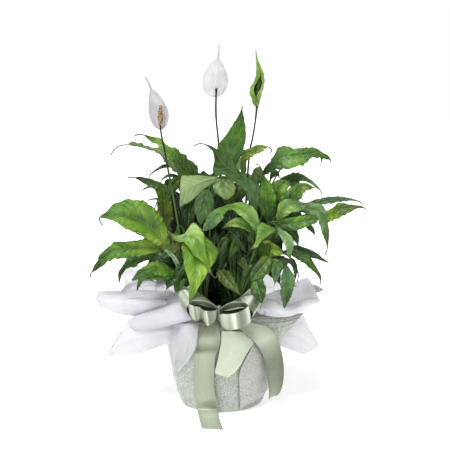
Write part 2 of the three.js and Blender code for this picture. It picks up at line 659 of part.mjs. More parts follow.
// The lining's collar stands inside it: radius and height of its edge, which dips at the bow.
const LINING_EDGE = [
  [-88, 74, 195], [-76, 75, 207], [-62, 77, 217], [-40, 76, 221], [0, 76, 222], [60, 76, 223],
  [120, 76, 223], [180, 76, 222], [215, 78, 224], [232, 83, 227], [245, 80, 219], [258, 76, 208],
  [268, 74, 195],
];
const LINING_RADIUS = 73.6;
const LINING_BOTTOM_Z = 184;
const LINING_FLARE_Z = 210; // the lining stands straight up to here
const LINING_COLUMNS = 32;
function liningRows() {
  const [from, to] = [LINING_EDGE[0][0], LINING_EDGE[LINING_EDGE.length - 1][0]];
  return [0, 0.6, 1].map((share) => Array.from({ length: LINING_COLUMNS + 1 }, (_, k) => {
    const azimuth = mix(from, to, k / LINING_COLUMNS);
    const [edgeRadius, edgeZ] = tableAt(LINING_EDGE, azimuth);
    const z = mix(LINING_BOTTOM_Z, edgeZ, share);
    const flare = THREE.MathUtils.clamp((z - LINING_FLARE_Z) / (edgeZ - LINING_FLARE_Z), 0, 1);
    return turn(azimuth, edgeZ > LINING_FLARE_Z ? mix(LINING_RADIUS, edgeRadius, flare) : LINING_RADIUS, z);
  }));
}
place('lining_collar', slab(liningRows(), CLOTH), LINING);

// ---------------------------------------------------------------- ribbon
const BAND_RADIUS = NECK_RADIUS + 2.8;
const BAND_COLUMNS = 28;
const BAND_ENDS = [-70, 248]; // azimuths of the band's ends, behind the bow
const bandRow = (z) => Array.from({ length: BAND_COLUMNS + 1 }, (_, k) =>
  turn(mix(...BAND_ENDS, k / BAND_COLUMNS), BAND_RADIUS, z));
place('ribbon_band', slab([BAND_BOTTOM_Z, BAND_TOP_Z].map(bandRow), RIBBON_THICKNESS), SATIN);

const KNOT_CENTRE = [-5, -94, 170];
const KNOT_HALF = [9, 7, 12];
function knotGeometry() {
  const knot = new THREE.SphereGeometry(1, 10, 6);
  knot.scale(...KNOT_HALF);
  knot.translate(...seen(...KNOT_CENTRE));
  return knot;
}
place('ribbon_knot', knotGeometry(), SATIN);

// Loops of the bow: the ribbon's middle line in the front elevation. Its width stands along lean.
const LOOPS = {
  right_front: {
    line: [
      [6, -103, 160], [18, -113, 152], [32, -120, 150], [46, -118, 155], [51, -109, 163], [40, -104, 168],
      [22, -102, 168], [7, -99, 166],
    ],
    lean: [0, 0.15, 1],
  },
  right_back: {
    line: [
      [7, -91, 168], [24, -93, 174], [48, -90, 179], [63, -82, 177], [66, -75, 170], [52, -79, 166],
      [30, -85, 165], [8, -87, 163],
    ],
    lean: [0.25, 0.3, 1],
  },
  left_front: {
    line: [
      [-16, -103, 162], [-27, -112, 156], [-39, -115, 158], [-45, -109, 166], [-40, -104, 172],
      [-28, -102, 172], [-17, -99, 168],
    ],
    lean: [0.2, 0.1, 1],
  },
  left_back: {
    line: [
      [-17, -95, 170], [-32, -97, 168], [-48, -96, 170], [-58, -91, 174], [-55, -86, 178], [-40, -89, 178],
      [-17, -91, 174],
    ],
    lean: [0.3, 0.2, 1],
  },
};
function loopRows({ line, lean }) {
  const curve = new THREE.CatmullRomCurve3(line.map((point) => seen(...point)), false, 'centripetal');
  const stand = vec(...lean).normalize().multiplyScalar(RIBBON_WIDTH / 2);
  const steps = 12;
  return Array.from({ length: steps + 1 }, (_, k) => {
    const point = curve.getPoint(k / steps);
    return [point.clone().sub(stand), point.clone().add(stand)];
  });
}
for (const [name, loop] of Object.entries(LOOPS)) {
  place(`ribbon_loop_${name}`, slab(loopRows(loop), RIBBON_THICKNESS), SATIN);
}

// The right tail swings out under the wrap's corner and hangs free: [x, y, z] of both edges.
const RIGHT_TAIL_INNER = [
  [4, -93, 148], [20, -93, 141], [42, -90, 134], [56, -84, 120], [64, -79, 108], [74, -73, 92],
  [80, -69, 72], [83, -67, 50], [86, -65, 28], [88, -64, 12], [87, -63, 0],
];
const RIGHT_TAIL_OUTER = [
  [8, -92, 158], [36, -90, 156], [62, -81, 146], [84, -65, 132], [98, -54, 114], [107, -50, 98],
  [113, -48, 78], [115, -48, 53], [113, -49, 30], [108, -51, 14], [103, -53, 8],
];
const rightTail = between(RIGHT_TAIL_INNER, RIGHT_TAIL_OUTER, 1, seen);
place('ribbon_tail_right', slab(rightTail, RIBBON_THICKNESS), SATIN);

// The left tail falls down the front of the wrap, [x, distance off the wrap, z] of both edges, and
// then lies on the surface, [x, y, z].
const LEFT_TAIL_LEFT = [
  [-14, 10, 156], [-28, 8, 138], [-38, 8, 122], [-42, 7, 104], [-46, 9, 84], [-49, 8, 60], [-50, 7, 35],
  [-50, 9, 12], [-48, 12, -2],
];
const LEFT_TAIL_RIGHT = [
  [-3, 10, 154], [-3, 8, 138], [-2, 8, 118], [-3, 7, 100], [-8, 9, 82], [-12, 8, 60], [-13, 7, 35],
  [-11, 9, 12], [-8, 12, -2],
];
const FLOOR_TAIL_LEFT = [
  [-45, -86, -16], [-43, -95, -27], [-41, -110, -36], [-38, -141, -48], [-36, -159, -56],
];
const FLOOR_TAIL_RIGHT = [
  [-6, -88, -18], [-5, -97, -28], [-3, -114, -38], [1, -144, -50], [4, -165, -59],
];
const onFloor = (x, y, z) => {
  const point = seen(x, y, z);
  return point.setZ(Math.max(point.z, RIBBON_THICKNESS / 2));
};
const leftTail = [
  ...between(LEFT_TAIL_LEFT, LEFT_TAIL_RIGHT, 2, draped),
  ...between(FLOOR_TAIL_LEFT, FLOOR_TAIL_RIGHT, 2, onFloor),
];
place('ribbon_tail_left', slab(leftTail, RIBBON_THICKNESS), SATIN);

export default plant;
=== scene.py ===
import math

import bpy
import numpy as np
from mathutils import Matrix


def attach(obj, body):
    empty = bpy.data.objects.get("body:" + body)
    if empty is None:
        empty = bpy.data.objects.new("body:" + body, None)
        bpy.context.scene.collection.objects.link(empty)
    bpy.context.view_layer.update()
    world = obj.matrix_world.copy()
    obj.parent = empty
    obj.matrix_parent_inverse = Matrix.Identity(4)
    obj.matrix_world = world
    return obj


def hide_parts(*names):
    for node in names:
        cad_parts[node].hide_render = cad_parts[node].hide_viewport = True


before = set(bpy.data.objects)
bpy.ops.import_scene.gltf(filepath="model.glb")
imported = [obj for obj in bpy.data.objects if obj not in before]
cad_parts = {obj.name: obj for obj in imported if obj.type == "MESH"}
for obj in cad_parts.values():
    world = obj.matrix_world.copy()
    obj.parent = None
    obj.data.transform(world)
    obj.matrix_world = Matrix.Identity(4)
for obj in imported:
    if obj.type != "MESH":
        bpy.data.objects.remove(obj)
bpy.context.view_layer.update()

# Potted peace lily in a tied cloth wrap. Tables are in millimetres, +Z up, the front along -Y, and
# meshes are written in metres. Leaves, stems and sheets are drawn as the plant is seen from the
# front: x and z are read on the upright plane through the axis, y is the depth behind it. The camera
# stands at VIEWER and looks at the height AIM_Z on the axis.
MM = 0.001
VIEWER = np.array([7.2, -2127.0, 702.0])
AIM_Z = 327.0
FULL_TURN = 2 * math.pi


# ---------------------------------------------------------------- points and curves
# The true places of points that are given as they are seen on the plane y = 0, with their depth y.
def seen(points):
    points = np.asarray(points, float)
    on_plane = points * (1, 0, 1)
    return on_plane + (on_plane - VIEWER) * (points[..., 1:2] / -VIEWER[1])


def unit(vectors):
    return vectors / np.maximum(np.linalg.norm(vectors, axis=-1, keepdims=True), 1e-9)


def mix(a, b, t):
    return a + (b - a) * t


def smooth(low, high, value):
    t = np.clip((value - low) / (high - low), 0, 1)
    return t * t * (3 - 2 * t)


# A bump of height 1 at centre.
def bell(value, centre, width):
    return np.exp(-(((value - centre) / width) ** 2))


def cosine(degrees):
    return np.cos(np.radians(degrees))


def sine(degrees):
    return np.sin(np.radians(degrees))


# The point at an azimuth in degrees, a radius and a height.
def turn(azimuth, radius, z):
    return np.stack(np.broadcast_arrays(radius * cosine(azimuth), radius * sine(azimuth), z), -1)


# Table lookup, eased from row to row: rows of [key, value...] in rising key order.
def table_at(rows, keys):
    rows, keys = np.asarray(rows, float), np.asarray(keys, float)
    k = np.clip(np.searchsorted(rows[:, 0], keys, side="left") - 1, 0, len(rows) - 2)
    t = smooth(rows[k, 0], rows[k + 1, 0], keys)
    return rows[k, 1:] + (rows[k + 1, 1:] - rows[k, 1:]) * t[..., None]


# Points of a centripetal Catmull-Rom curve at shares of its run.
def catmull(points, shares):
    points = np.asarray(points, float)
    last = len(points) - 1
    padded = np.vstack([2 * points[0] - points[1], points, 2 * points[-1] - points[-2]])
    k = np.minimum((shares * last).astype(int), last - 1)
    w = (shares * last - k)[:, None]
    p0, p1, p2, p3 = (padded[k + n] for n in range(4))
    gap = lambda a, b: np.maximum(np.linalg.norm(b - a, axis=1, keepdims=True) ** 0.5, 1e-3)
    d0, d1, d2 = gap(p0, p1), gap(p1, p2), gap(p2, p3)
    t1 = ((p1 - p0) / d0 - (p2 - p0) / (d0 + d1) + (p2 - p1) / d1) * d1
    t2 = ((p2 - p1) / d1 - (p3 - p1) / (d1 + d2) + (p3 - p2) / d2) * d1
    return p1 + t1 * w + (3 * (p2 - p1) - 2 * t1 - t2) * w**2 + (2 * (p1 - p2) + t1 + t2) * w**3


# A grid of control points made finer along both of its directions.
def surface(control, rows, columns):
    control = np.asarray(control, float)
    down = np.stack([catmull(control[:, j], np.linspace(0, 1, rows)) for j in range(control.shape[1])], 1)
    return np.stack([catmull(row, np.linspace(0, 1, columns)) for row in down])


# The share of its rows and of its columns that each point of a grid is at, from 0 to 1.
def shares_of(grid):
    rows, columns = grid.shape[:2]
    return np.meshgrid(np.linspace(0, 1, rows), np.linspace(0, 1, columns), indexing="ij")


# ---------------------------------------------------------------- meshes
class Piece:
    """Collects the parts of one mesh: points in millimetres, faces, and numbers kept per point."""

    def __init__(self):
        self.points, self.faces, self.numbers, self.count = [], [], [], 0

    def add(self, points, faces, **numbers):
        points = np.asarray(points, float).reshape(-1, 3)
        self.points.append(points)
        self.faces.extend([tuple(int(i) + self.count for i in face) for face in faces])
        self.numbers.append((len(points), numbers))
        self.count += len(points)

    def make(self, name, slot, node):
        mesh = bpy.data.meshes.new(name)
        mesh.from_pydata((np.vstack(self.points) * MM).tolist(), [], self.faces)
        for key in sorted({key for _, numbers in self.numbers for key in numbers}):
            values = [np.broadcast_to(np.asarray(numbers.get(key, 0.0), float).reshape(-1), (count,))
                      for count, numbers in self.numbers]
            attribute = mesh.attributes.new(key, "FLOAT", "POINT")
            attribute.data.foreach_set("value", np.concatenate(values).astype(np.float32))
        mesh.polygons.foreach_set("use_smooth", [True] * len(mesh.polygons))
        mesh.update()
        mesh.materials.append(FINISHES[slot])
        piece = bpy.data.objects.new(name, mesh)
        bpy.context.scene.collection.objects.link(piece)
        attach(piece, "root")
        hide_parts(node)


def grid_faces(rows, columns, closed=False):
    faces = []
    for i in range(rows - 1):
        for j in range(columns if closed else columns - 1):
            a, b = i * columns + j, i * columns + (j + 1) % columns
            faces.append((a, b, b + columns, a + columns))
    return faces


# A closed solid through rings of equal size.
def add_loft(piece, rings, **numbers):
    rings = np.asarray(rings, float)
    count, size = rings.shape[:2]
    faces = [face[::-1] for face in grid_faces(count, size, closed=True)]
    faces += [tuple(range(size)), tuple((count - 1) * size + k for k in reversed(range(size)))]
    piece.add(rings, faces, **numbers)


# A round tube along a path, with its own radius at each point.
def add_tube(piece, path, radii, sides=10, **numbers):
    path = np.asarray(path, float)
    side = unit(np.cross(unit(np.gradient(path, axis=0)), (0.02, 1, 0.01)))
    front = np.cross(unit(np.gradient(path, axis=0)), side)
    angle = np.linspace(0, FULL_TURN, sides, endpoint=False)[None, :, None]
    radii = np.broadcast_to(radii, (len(path),))[:, None, None]
    rings = path[:, None] + radii * (np.cos(angle) * side[:, None] + np.sin(angle) * front[:, None])
    spread = {key: np.repeat(np.broadcast_to(value, (len(path),)), sides) for key, value in numbers.items()}
    add_loft(piece, rings, **spread)


def normals_of(grid, closed=False):
    if closed:
        across = np.roll(grid, -1, axis=1) - np.roll(grid, 1, axis=1)
    else:
        across = np.gradient(grid, axis=1)
    return unit(np.cross(np.gradient(grid, axis=0), across))


# A closed sheet of even thickness from a grid of points. Its last rows may be thicker, as a hem.
def add_sheet(piece, grid, thickness, closed=False, hem=0.0, **numbers):
    rows, columns = grid.shape[:2]
    half = np.full((rows, columns), thickness / 2)
    half[-2:] += hem / 2
    lift = normals_of(grid, closed) * half[..., None]
    count = rows * columns
    front = grid_faces(rows, columns, closed)
    back = [tuple(count + i for i in face[::-1]) for face in front]
    # Walls close its four edges, or the two that a sheet closed to a ring has.
    first = list(range(columns)) + ([0] if closed else [])
    edges = [(first, -1), ([(rows - 1) * columns + k for k in first], 1)]
    if not closed:
        left = [i * columns for i in range(rows)]
        edges += [(left, 1), ([k + columns - 1 for k in left], -1)]
    walls = []
    for edge, way in edges:
        for pair in zip(edge[:-1], edge[1:]):
            a, b = pair[::way]
            walls.append((a, b, b + count, a + count))
    along, across = shares_of(grid)
    spread = {key: np.broadcast_to(value, (2, rows, columns)).reshape(-1)
              for key, value in {"along": along, "across": across, **numbers}.items()}
    piece.add(np.stack([grid + lift, grid - lift]), front + back + walls, **spread)


def make_sheet(name, slot, node, grid, thickness, **numbers):
    piece = Piece()
    add_sheet(piece, grid, thickness, **numbers)
    piece.make(name, slot, node)


# ---------------------------------------------------------------- materials
def linear(red, green, blue):
    srgb = np.array([red, green, blue]) / 255
    return (*np.where(srgb <= 0.04045, srgb / 12.92, ((srgb + 0.055) / 1.055) ** 2.4).tolist(), 1.0)


class Finish:
    """Builds one material from nodes. Colours are given as sRGB from 0 to 255."""

    def __init__(self, name):
        self.material = bpy.data.materials.new(name)
        self.material.use_nodes = True
        self.tree = self.material.node_tree
        self.tree.nodes.clear()

    def node(self, kind, inputs, **settings):
        made = self.tree.nodes.new("ShaderNode" + kind)
        for key, value in settings.items():
            setattr(made, key, value)
        for key, value in inputs.items():
            socket = made.inputs[key]
            if isinstance(value, bpy.types.NodeSocket):
                self.tree.links.new(value, socket)
            else:
                socket.default_value = linear(*value) if socket.type == "RGBA" else value
        return made

    def number(self, name):
        return self.node("Attribute", {}, attribute_name=name).outputs["Fac"]

    def place(self):
        return self.node("TexCoord", {}).outputs["Object"]

    def math(self, operation, *values):
        return self.node("Math", dict(enumerate(values)), operation=operation).outputs[0]

    def plus(self, a, b):
        return self.math("ADD", a, b)

    def times(self, a, b):
        return self.math("MULTIPLY", a, b)

    def off(self, value, middle):
        return self.math("SUBTRACT", value, middle)

    def step(self, value, low, high, to_low=0.0, to_high=1.0):
        inputs = {"Value": value, "From Min": low, "From Max": high, "To Min": to_low, "To Max": to_high}
        return self.node("MapRange", inputs, interpolation_type="SMOOTHSTEP").outputs[0]

    def ramp(self, value, *stops):
        made = self.node("ValToRGB", {"Fac": value})
        elements = made.color_ramp.elements
        while len(elements) < len(stops):
            elements.new(0.5)
        for element, (position, colour) in zip(elements, stops):
            element.position = position
            element.color = linear(*colour)
        return made.outputs["Color"]

    def over(self, colour, *coats):
        """Lays coats, each a share and a colour, over a first colour."""
        for share, coat in coats:
            colour = self.node("Mix", {0: share, 6: colour, 7: coat}, data_type="RGBA").outputs[2]
        return colour

    def joined(self, *values):
        return self.node("CombineXYZ", dict(enumerate(values))).outputs[0]

    def noise(self, scale, detail=3.0, vector=None, distortion=0.0):
        inputs = {"Scale": scale, "Detail": detail, "Distortion": distortion}
        return self.node("TexNoise", {"Vector": vector or self.place(), **inputs}).outputs[0]

    def cells(self, scale, output="Color"):
        return self.node("TexVoronoi", {"Vector": self.place(), "Scale": scale}).outputs[output]

    def stretched(self, *scale):
        return self.node("Mapping", {"Vector": self.place(), "Scale": scale}).outputs[0]

    def bump(self, height, strength, distance, under=None):
        inputs = {"Height": height, "Strength": strength, "Distance": distance}
        if under:
            inputs["Normal"] = under
        return self.node("Bump", inputs).outputs[0]

    def lines(self, phase, low=0.72):
        """1 on the lines where phase is a whole number, 0 between them."""
        off_line = self.math("ABSOLUTE", self.off(self.math("FRACT", phase), 0.5))
        return self.step(self.times(off_line, 2.0), low, 1.0)

    def skin(self, colour, roughness, normal=None, **more):
        inputs = {"Base Color": colour, "Roughness": roughness}
        inputs.update({key.replace("_", " "): value for key, value in more.items()})
        if normal:
            inputs["Normal"] = normal
        return self.node("BsdfPrincipled", inputs).outputs[0]

    def glow(self, colour, normal=None):
        inputs = {"Color": colour, "Normal": normal} if normal else {"Color": colour}
        return self.node("BsdfTranslucent", inputs).outputs[0]

    def layered(self, share, first, second):
        return self.node("MixShader", {0: share, 1: first, 2: second}).outputs[0]

    def end(self, shader):
        self.tree.links.new(shader, self.node("OutputMaterial", {}).inputs["Surface"])
        return self.material


def leaf_finish(name):
    f = Finish(name)
    vein, cool, tone, under, across, rib = map(f.number, ("vein", "cool", "tone", "under", "across", "rib"))
    streaks = f.noise(1.5, 3.0, f.joined(f.times(vein, 1.6), f.times(across, 0.5), f.times(tone, 9.0)))
    shift = f.plus(f.times(f.off(streaks, 0.5), 0.62), f.times(f.off(f.noise(22), 0.5), 0.88))
    tone = f.plus(tone, shift)
    # The tone picks each ramp's colour, and with it painted light and shade; the pale end of the bluish
    # ramp is in part a painted reflection of the gloss.
    green = f.ramp(tone, (0.0, (5, 16, 3)), (0.28, (24, 54, 8)), (0.55, (62, 108, 18)),
                   (0.8, (116, 166, 32)), (1.0, (180, 210, 92)))
    bluish = f.ramp(tone, (0.0, (10, 24, 10)), (0.3, (38, 66, 32)), (0.55, (86, 126, 70)),
                    (0.8, (138, 176, 116)), (1.0, (200, 220, 182)))
    olive = f.ramp(tone, (0.0, (18, 22, 2)), (0.3, (54, 60, 8)), (0.55, (98, 112, 12)),
                   (0.8, (144, 158, 26)), (1.0, (186, 194, 78)))
    pale = f.ramp(tone, (0.0, (52, 78, 38)), (0.5, (104, 136, 74)), (1.0, (166, 188, 130)))
    veins, fine = f.lines(vein), f.lines(f.times(vein, 3.0), 0.4)
    from_rib = f.math("ABSOLUTE", rib)
    # Painted shade darkens the blade along the fold of its midrib, up to 6 mm out from it.
    upper = f.over(green, (f.step(cool, 0.0, 1.0), bluish), (f.step(cool, 0.0, -1.0), olive),
                   (f.times(veins, 0.18), (134, 170, 84)), (f.times(fine, 0.2), (24, 54, 14)),
                   (f.step(from_rib, 1.2, 6.0, 0.3, 0.0), (18, 46, 10)),
                   (f.times(f.step(from_rib, 0.4, 1.3, 1.0, 0.0), 0.22), (130, 164, 76)))
    lower = f.over(pale, (f.times(veins, 0.4), (190, 206, 154)), (f.times(fine, 0.2), (78, 108, 58)))
    # Dry patches along the edge, the stalk's own green, and the brown hair at the tip.
    edge = f.step(f.math("ABSOLUTE", across), 0.9, 1.0, 0.0, f.step(f.noise(90), 0.4, 0.65, 0.05, 0.75))
    stalk = f.ramp(f.noise(60), (0.3, (30, 56, 18)), (0.7, (74, 110, 42)))
    colour = f.over(upper, (under, lower), (edge, (84, 92, 44)), (f.number("stalk"), stalk),
                    (f.times(f.number("hair"), 0.85), (64, 56, 38)))
    relief = f.plus(f.times(veins, -0.8), f.times(fine, -0.35))
    normal = f.bump(relief, 0.8, 0.0008, f.bump(f.noise(700, 2.0), 0.12, 0.0004))
    gloss = f.plus(f.step(streaks, 0.3, 0.7, 0.24, 0.4), f.times(under, 0.25))
    skin = f.skin(colour, gloss, normal, Specular_IOR_Level=0.44)
    return f.end(f.layered(0.14, skin, f.glow(f.over(colour, (0.4, (130, 180, 20))), normal)))


def petal_finish(name, field, edge, vein, back):
    f = Finish(name)
    along, across = f.number("along"), f.number("across")
    veins = f.lines(f.times(across, 15.0), 0.45)
    from_middle = f.math("ABSOLUTE", f.off(across, 0.5))
    # The number dark lays painted shade in dark green over the spathe that lies in shade and inside the
    # bud's hollow.
    colour = f.over(field, (f.step(f.noise(50), 0.35, 0.7), edge), (f.times(veins, 0.22), vein),
                    (f.step(from_middle, 0.03, 0.0, 0.0, 0.6), back),
                    (f.step(along, 0.86, 0.99, 0.0, 0.8), back), (f.step(along, 0.1, 0.0, 0.0, 0.3), back),
                    (f.number("dark"), (34, 50, 20)))
    normal = f.bump(veins, 0.3, 0.0005, f.bump(f.noise(260), 0.15, 0.0005))
    skin = f.skin(colour, 0.46, normal, Specular_IOR_Level=0.4, Sheen_Weight=0.1)
    return f.end(f.layered(0.28, skin, f.glow(colour, normal)))


def stem_finish(name):
    f = Finish(name)
    green = f.ramp(f.number("along"), (0.0, (84, 116, 54)), (0.45, (62, 86, 40)), (0.62, (18, 28, 11)),
                   (1.0, (22, 33, 15)))
    grain = f.noise(900, 2.0, f.stretched(1, 1, 0.08))
    colour = f.over(green, (f.step(grain, 0.35, 0.75, 0.0, 0.2), (84, 98, 56)))
    return f.end(f.skin(colour, 0.56, f.bump(grain, 0.3, 0.0004), Specular_IOR_Level=0.3))


def spadix_finish(name, dark, light):
    f = Finish(name)
    knobs = f.times(f.number("knob"), f.step(f.cells(420, "Distance"), 0.75, 0.2))
    stains = f.step(f.noise(240), 0.4, 0.7, 0.0, 0.3)
    colour = f.over(dark, (f.step(knobs, 0.2, 0.62), light), (stains, dark))
    return f.end(f.skin(colour, 0.7, f.bump(f.noise(1600, 2.0), 0.5, 0.0003)))


def soil_finish(name):
    f = Finish(name)
    colour = f.ramp(f.noise(420, 5.0), (0.3, (20, 15, 11)), (0.55, (48, 36, 26)), (0.75, (92, 76, 58)))
    return f.end(f.skin(colour, 0.95, f.bump(f.noise(520, 6.0), 0.8, 0.002)))


def pot_finish(name):
    f = Finish(name)
    grain = f.noise(900)
    colour = f.over((38, 42, 39), (f.step(f.noise(14, 4.0), 0.4, 0.75), (58, 62, 57)))
    return f.end(f.skin(colour, f.step(grain, 0.2, 0.8, 0.42, 0.62), f.bump(grain, 0.12, 0.0004)))


# Fleece with grains of glitter: some of its small cells are light and shiny, others dark.
def glitter_finish(name, base, shade, flake, streak):
    f = Finish(name)
    fibres = f.noise(60, 3.0, f.stretched(1, 1, 0.22), 0.6)
    fleece = f.over(shade, (f.step(f.noise(14), 0.3, 0.72), base),
                    (f.step(fibres, 0.45, 0.75, 0.0, streak), shade))
    split = f.node("SeparateColor", {"Color": f.cells(760)}).outputs
    bright, dark = f.step(split[0], 0.62, 0.9, 0.0, 0.5), f.step(split[1], 0.6, 0.9, 0.0, 0.42)
    colour = f.over(fleece, (dark, [v * 0.6 for v in shade]), (bright, flake))
    normal = f.bump(split[2], 0.6, 0.0006, f.bump(f.noise(240, 4.0), 0.25, 0.0008))
    roughness = f.step(bright, 0.0, 0.6, 0.62, 0.34)
    return f.end(f.skin(colour, roughness, normal, Metallic=0.12, Sheen_Weight=0.2))


def sheer_finish(name):
    f = Finish(name)
    threads = f.plus(*(f.noise(1400, 1.0, f.stretched(*scale)) for scale in ((1, 0.15, 1), (0.15, 1, 1))))
    # Painted shade: the same white sheer is darker on the pieces that lie in shade, by a number given per
    # piece.
    tone = f.plus(f.number("grey"), f.step(f.noise(22), 0.3, 0.7, 0.12, -0.12))
    colour = f.ramp(tone, (0.0, (240, 239, 243)), (1.0, (198, 197, 204)))
    normal = f.bump(threads, 0.12, 0.0004, f.bump(f.noise(90), 0.2, 0.001))
    skin = f.skin(colour, 0.55, normal, Sheen_Weight=0.35, Specular_IOR_Level=0.3)
    gap = f.node("BsdfTransparent", {"Color": (255, 255, 255)}).outputs[0]
    openness = f.plus(f.times(f.number("clear"), 0.55), f.step(threads, 0.7, 1.3, 0.0, 0.12))
    return f.end(f.layered(openness, f.layered(0.35, skin, f.glow(colour)), gap))


def lining_finish(name, base, shade):
    f = Finish(name)
    threads = f.noise(900, 2.0, f.stretched(1, 1, 0.2))
    colour = f.over(shade, (f.step(f.noise(30, 4.0), 0.32, 0.7), base),
                    (f.step(threads, 0.5, 0.8, 0.0, 0.25), [v * 0.9 for v in shade]))
    normal = f.bump(threads, 0.18, 0.0004, f.bump(f.noise(120), 0.2, 0.001))
    cloth = f.skin(colour, 0.62, normal, Sheen_Weight=0.25, Specular_IOR_Level=0.35)
    return f.end(f.layered(0.12, cloth, f.glow(colour, normal)))


def satin_finish(name):
    f = Finish(name)
    woven = f.joined(f.times(f.number("along"), 1.5), f.times(f.number("across"), 70.0))
    threads = f.noise(3.0, 2.0, woven)
    # The number shade is painted light: its ramp runs from the painted shade of folds, loop insides and the
    # knot up to a painted highlight.
    shade = f.step(f.number("shade"), -2.0, 1.0)
    sage_with_painted_light = f.ramp(shade, (0.0, (34, 42, 24)), (0.2, (66, 76, 50)), (0.38, (104, 114, 88)),
                  (0.66, (148, 157, 133)), (0.85, (186, 194, 174)), (1.0, (230, 236, 222)))
    colour = f.over(sage_with_painted_light, (f.step(f.noise(30), 0.35, 0.7, 0.0, 0.15), (140, 148, 122)),
                    (f.step(threads, 0.4, 0.7, 0.0, 0.1), (176, 184, 160)))
    roughness = f.step(threads, 0.3, 0.7, 0.26, 0.36)
    return f.end(f.skin(colour, roughness, f.bump(threads, 0.25, 0.0004), Specular_IOR_Level=0.7,
                        Anisotropic=0.5, Sheen_Weight=0.3, Coat_Weight=0.15, Coat_Roughness=0.35))


FINISHES = {name: finish(name, *values) for name, finish, *values in (
    ("leaf", leaf_finish),
    ("spathe", petal_finish, (232, 231, 234), (220, 217, 225), (204, 203, 211), (238, 239, 234)),
    ("bud_spathe", petal_finish, (112, 152, 52), (154, 190, 86), (82, 118, 38), (204, 213, 186)),
    ("peduncle", stem_finish),
    ("spadix", spadix_finish, (122, 88, 42), (250, 232, 192)),
    ("bud_spadix", spadix_finish, (52, 66, 28), (96, 112, 52)),
    ("soil", soil_finish),
    ("pot", pot_finish),
    ("glitter_wrap", glitter_finish, (167, 174, 164), (153, 161, 149), (230, 234, 230), 0.3),
    ("panel_wrap", glitter_finish, (174, 175, 169), (162, 163, 157), (210, 211, 206), 0.4),
    ("sheer_wrap", sheer_finish),
    ("lining", lining_finish, (203, 212, 190), (189, 200, 175)),
    ("satin", satin_finish),
)}


# ---------------------------------------------------------------- leaves
PETIOLE_RADIUS = 2.1
STALK_STEPS = 18
HAIR_HALF_WIDTH = 1.45
LEAST_HALF_WIDTH = 0.4
CROWN_RADIUS = 10.0
ROOT_Z = 140.0
CROWN_BOTTOM_Z, CROWN_TOP_Z = 112.0, 156.0
KEEL = 0.26  # how far a blade folds up along its midrib, as a share of its half width
VEIN_GAP = 13.0
# Heights of a blade's arch and of its slow roll, as shares of its half width, and of the ridges between
# its veins, in millimetres.
ARCH, ROLL, VEIN_RELIEF = 0.12, 0.16, 0.42
LOBE_LENGTHS = 15, 21
BLADE_COLUMNS, INNER_COLUMNS = 17, 9
OFF_BLADE = {"rib": 9.0, "vein": 0.5}  # numbers that keep a blade's veins off stalks and crowns
CROWNS = {
    "front_left": (-30, -40), "front_right": (28, -42), "left": (-48, -2), "right": (48, -2),
    "back_left": (-32, 40), "back_right": (34, 38), "middle": (-2, 4),
}
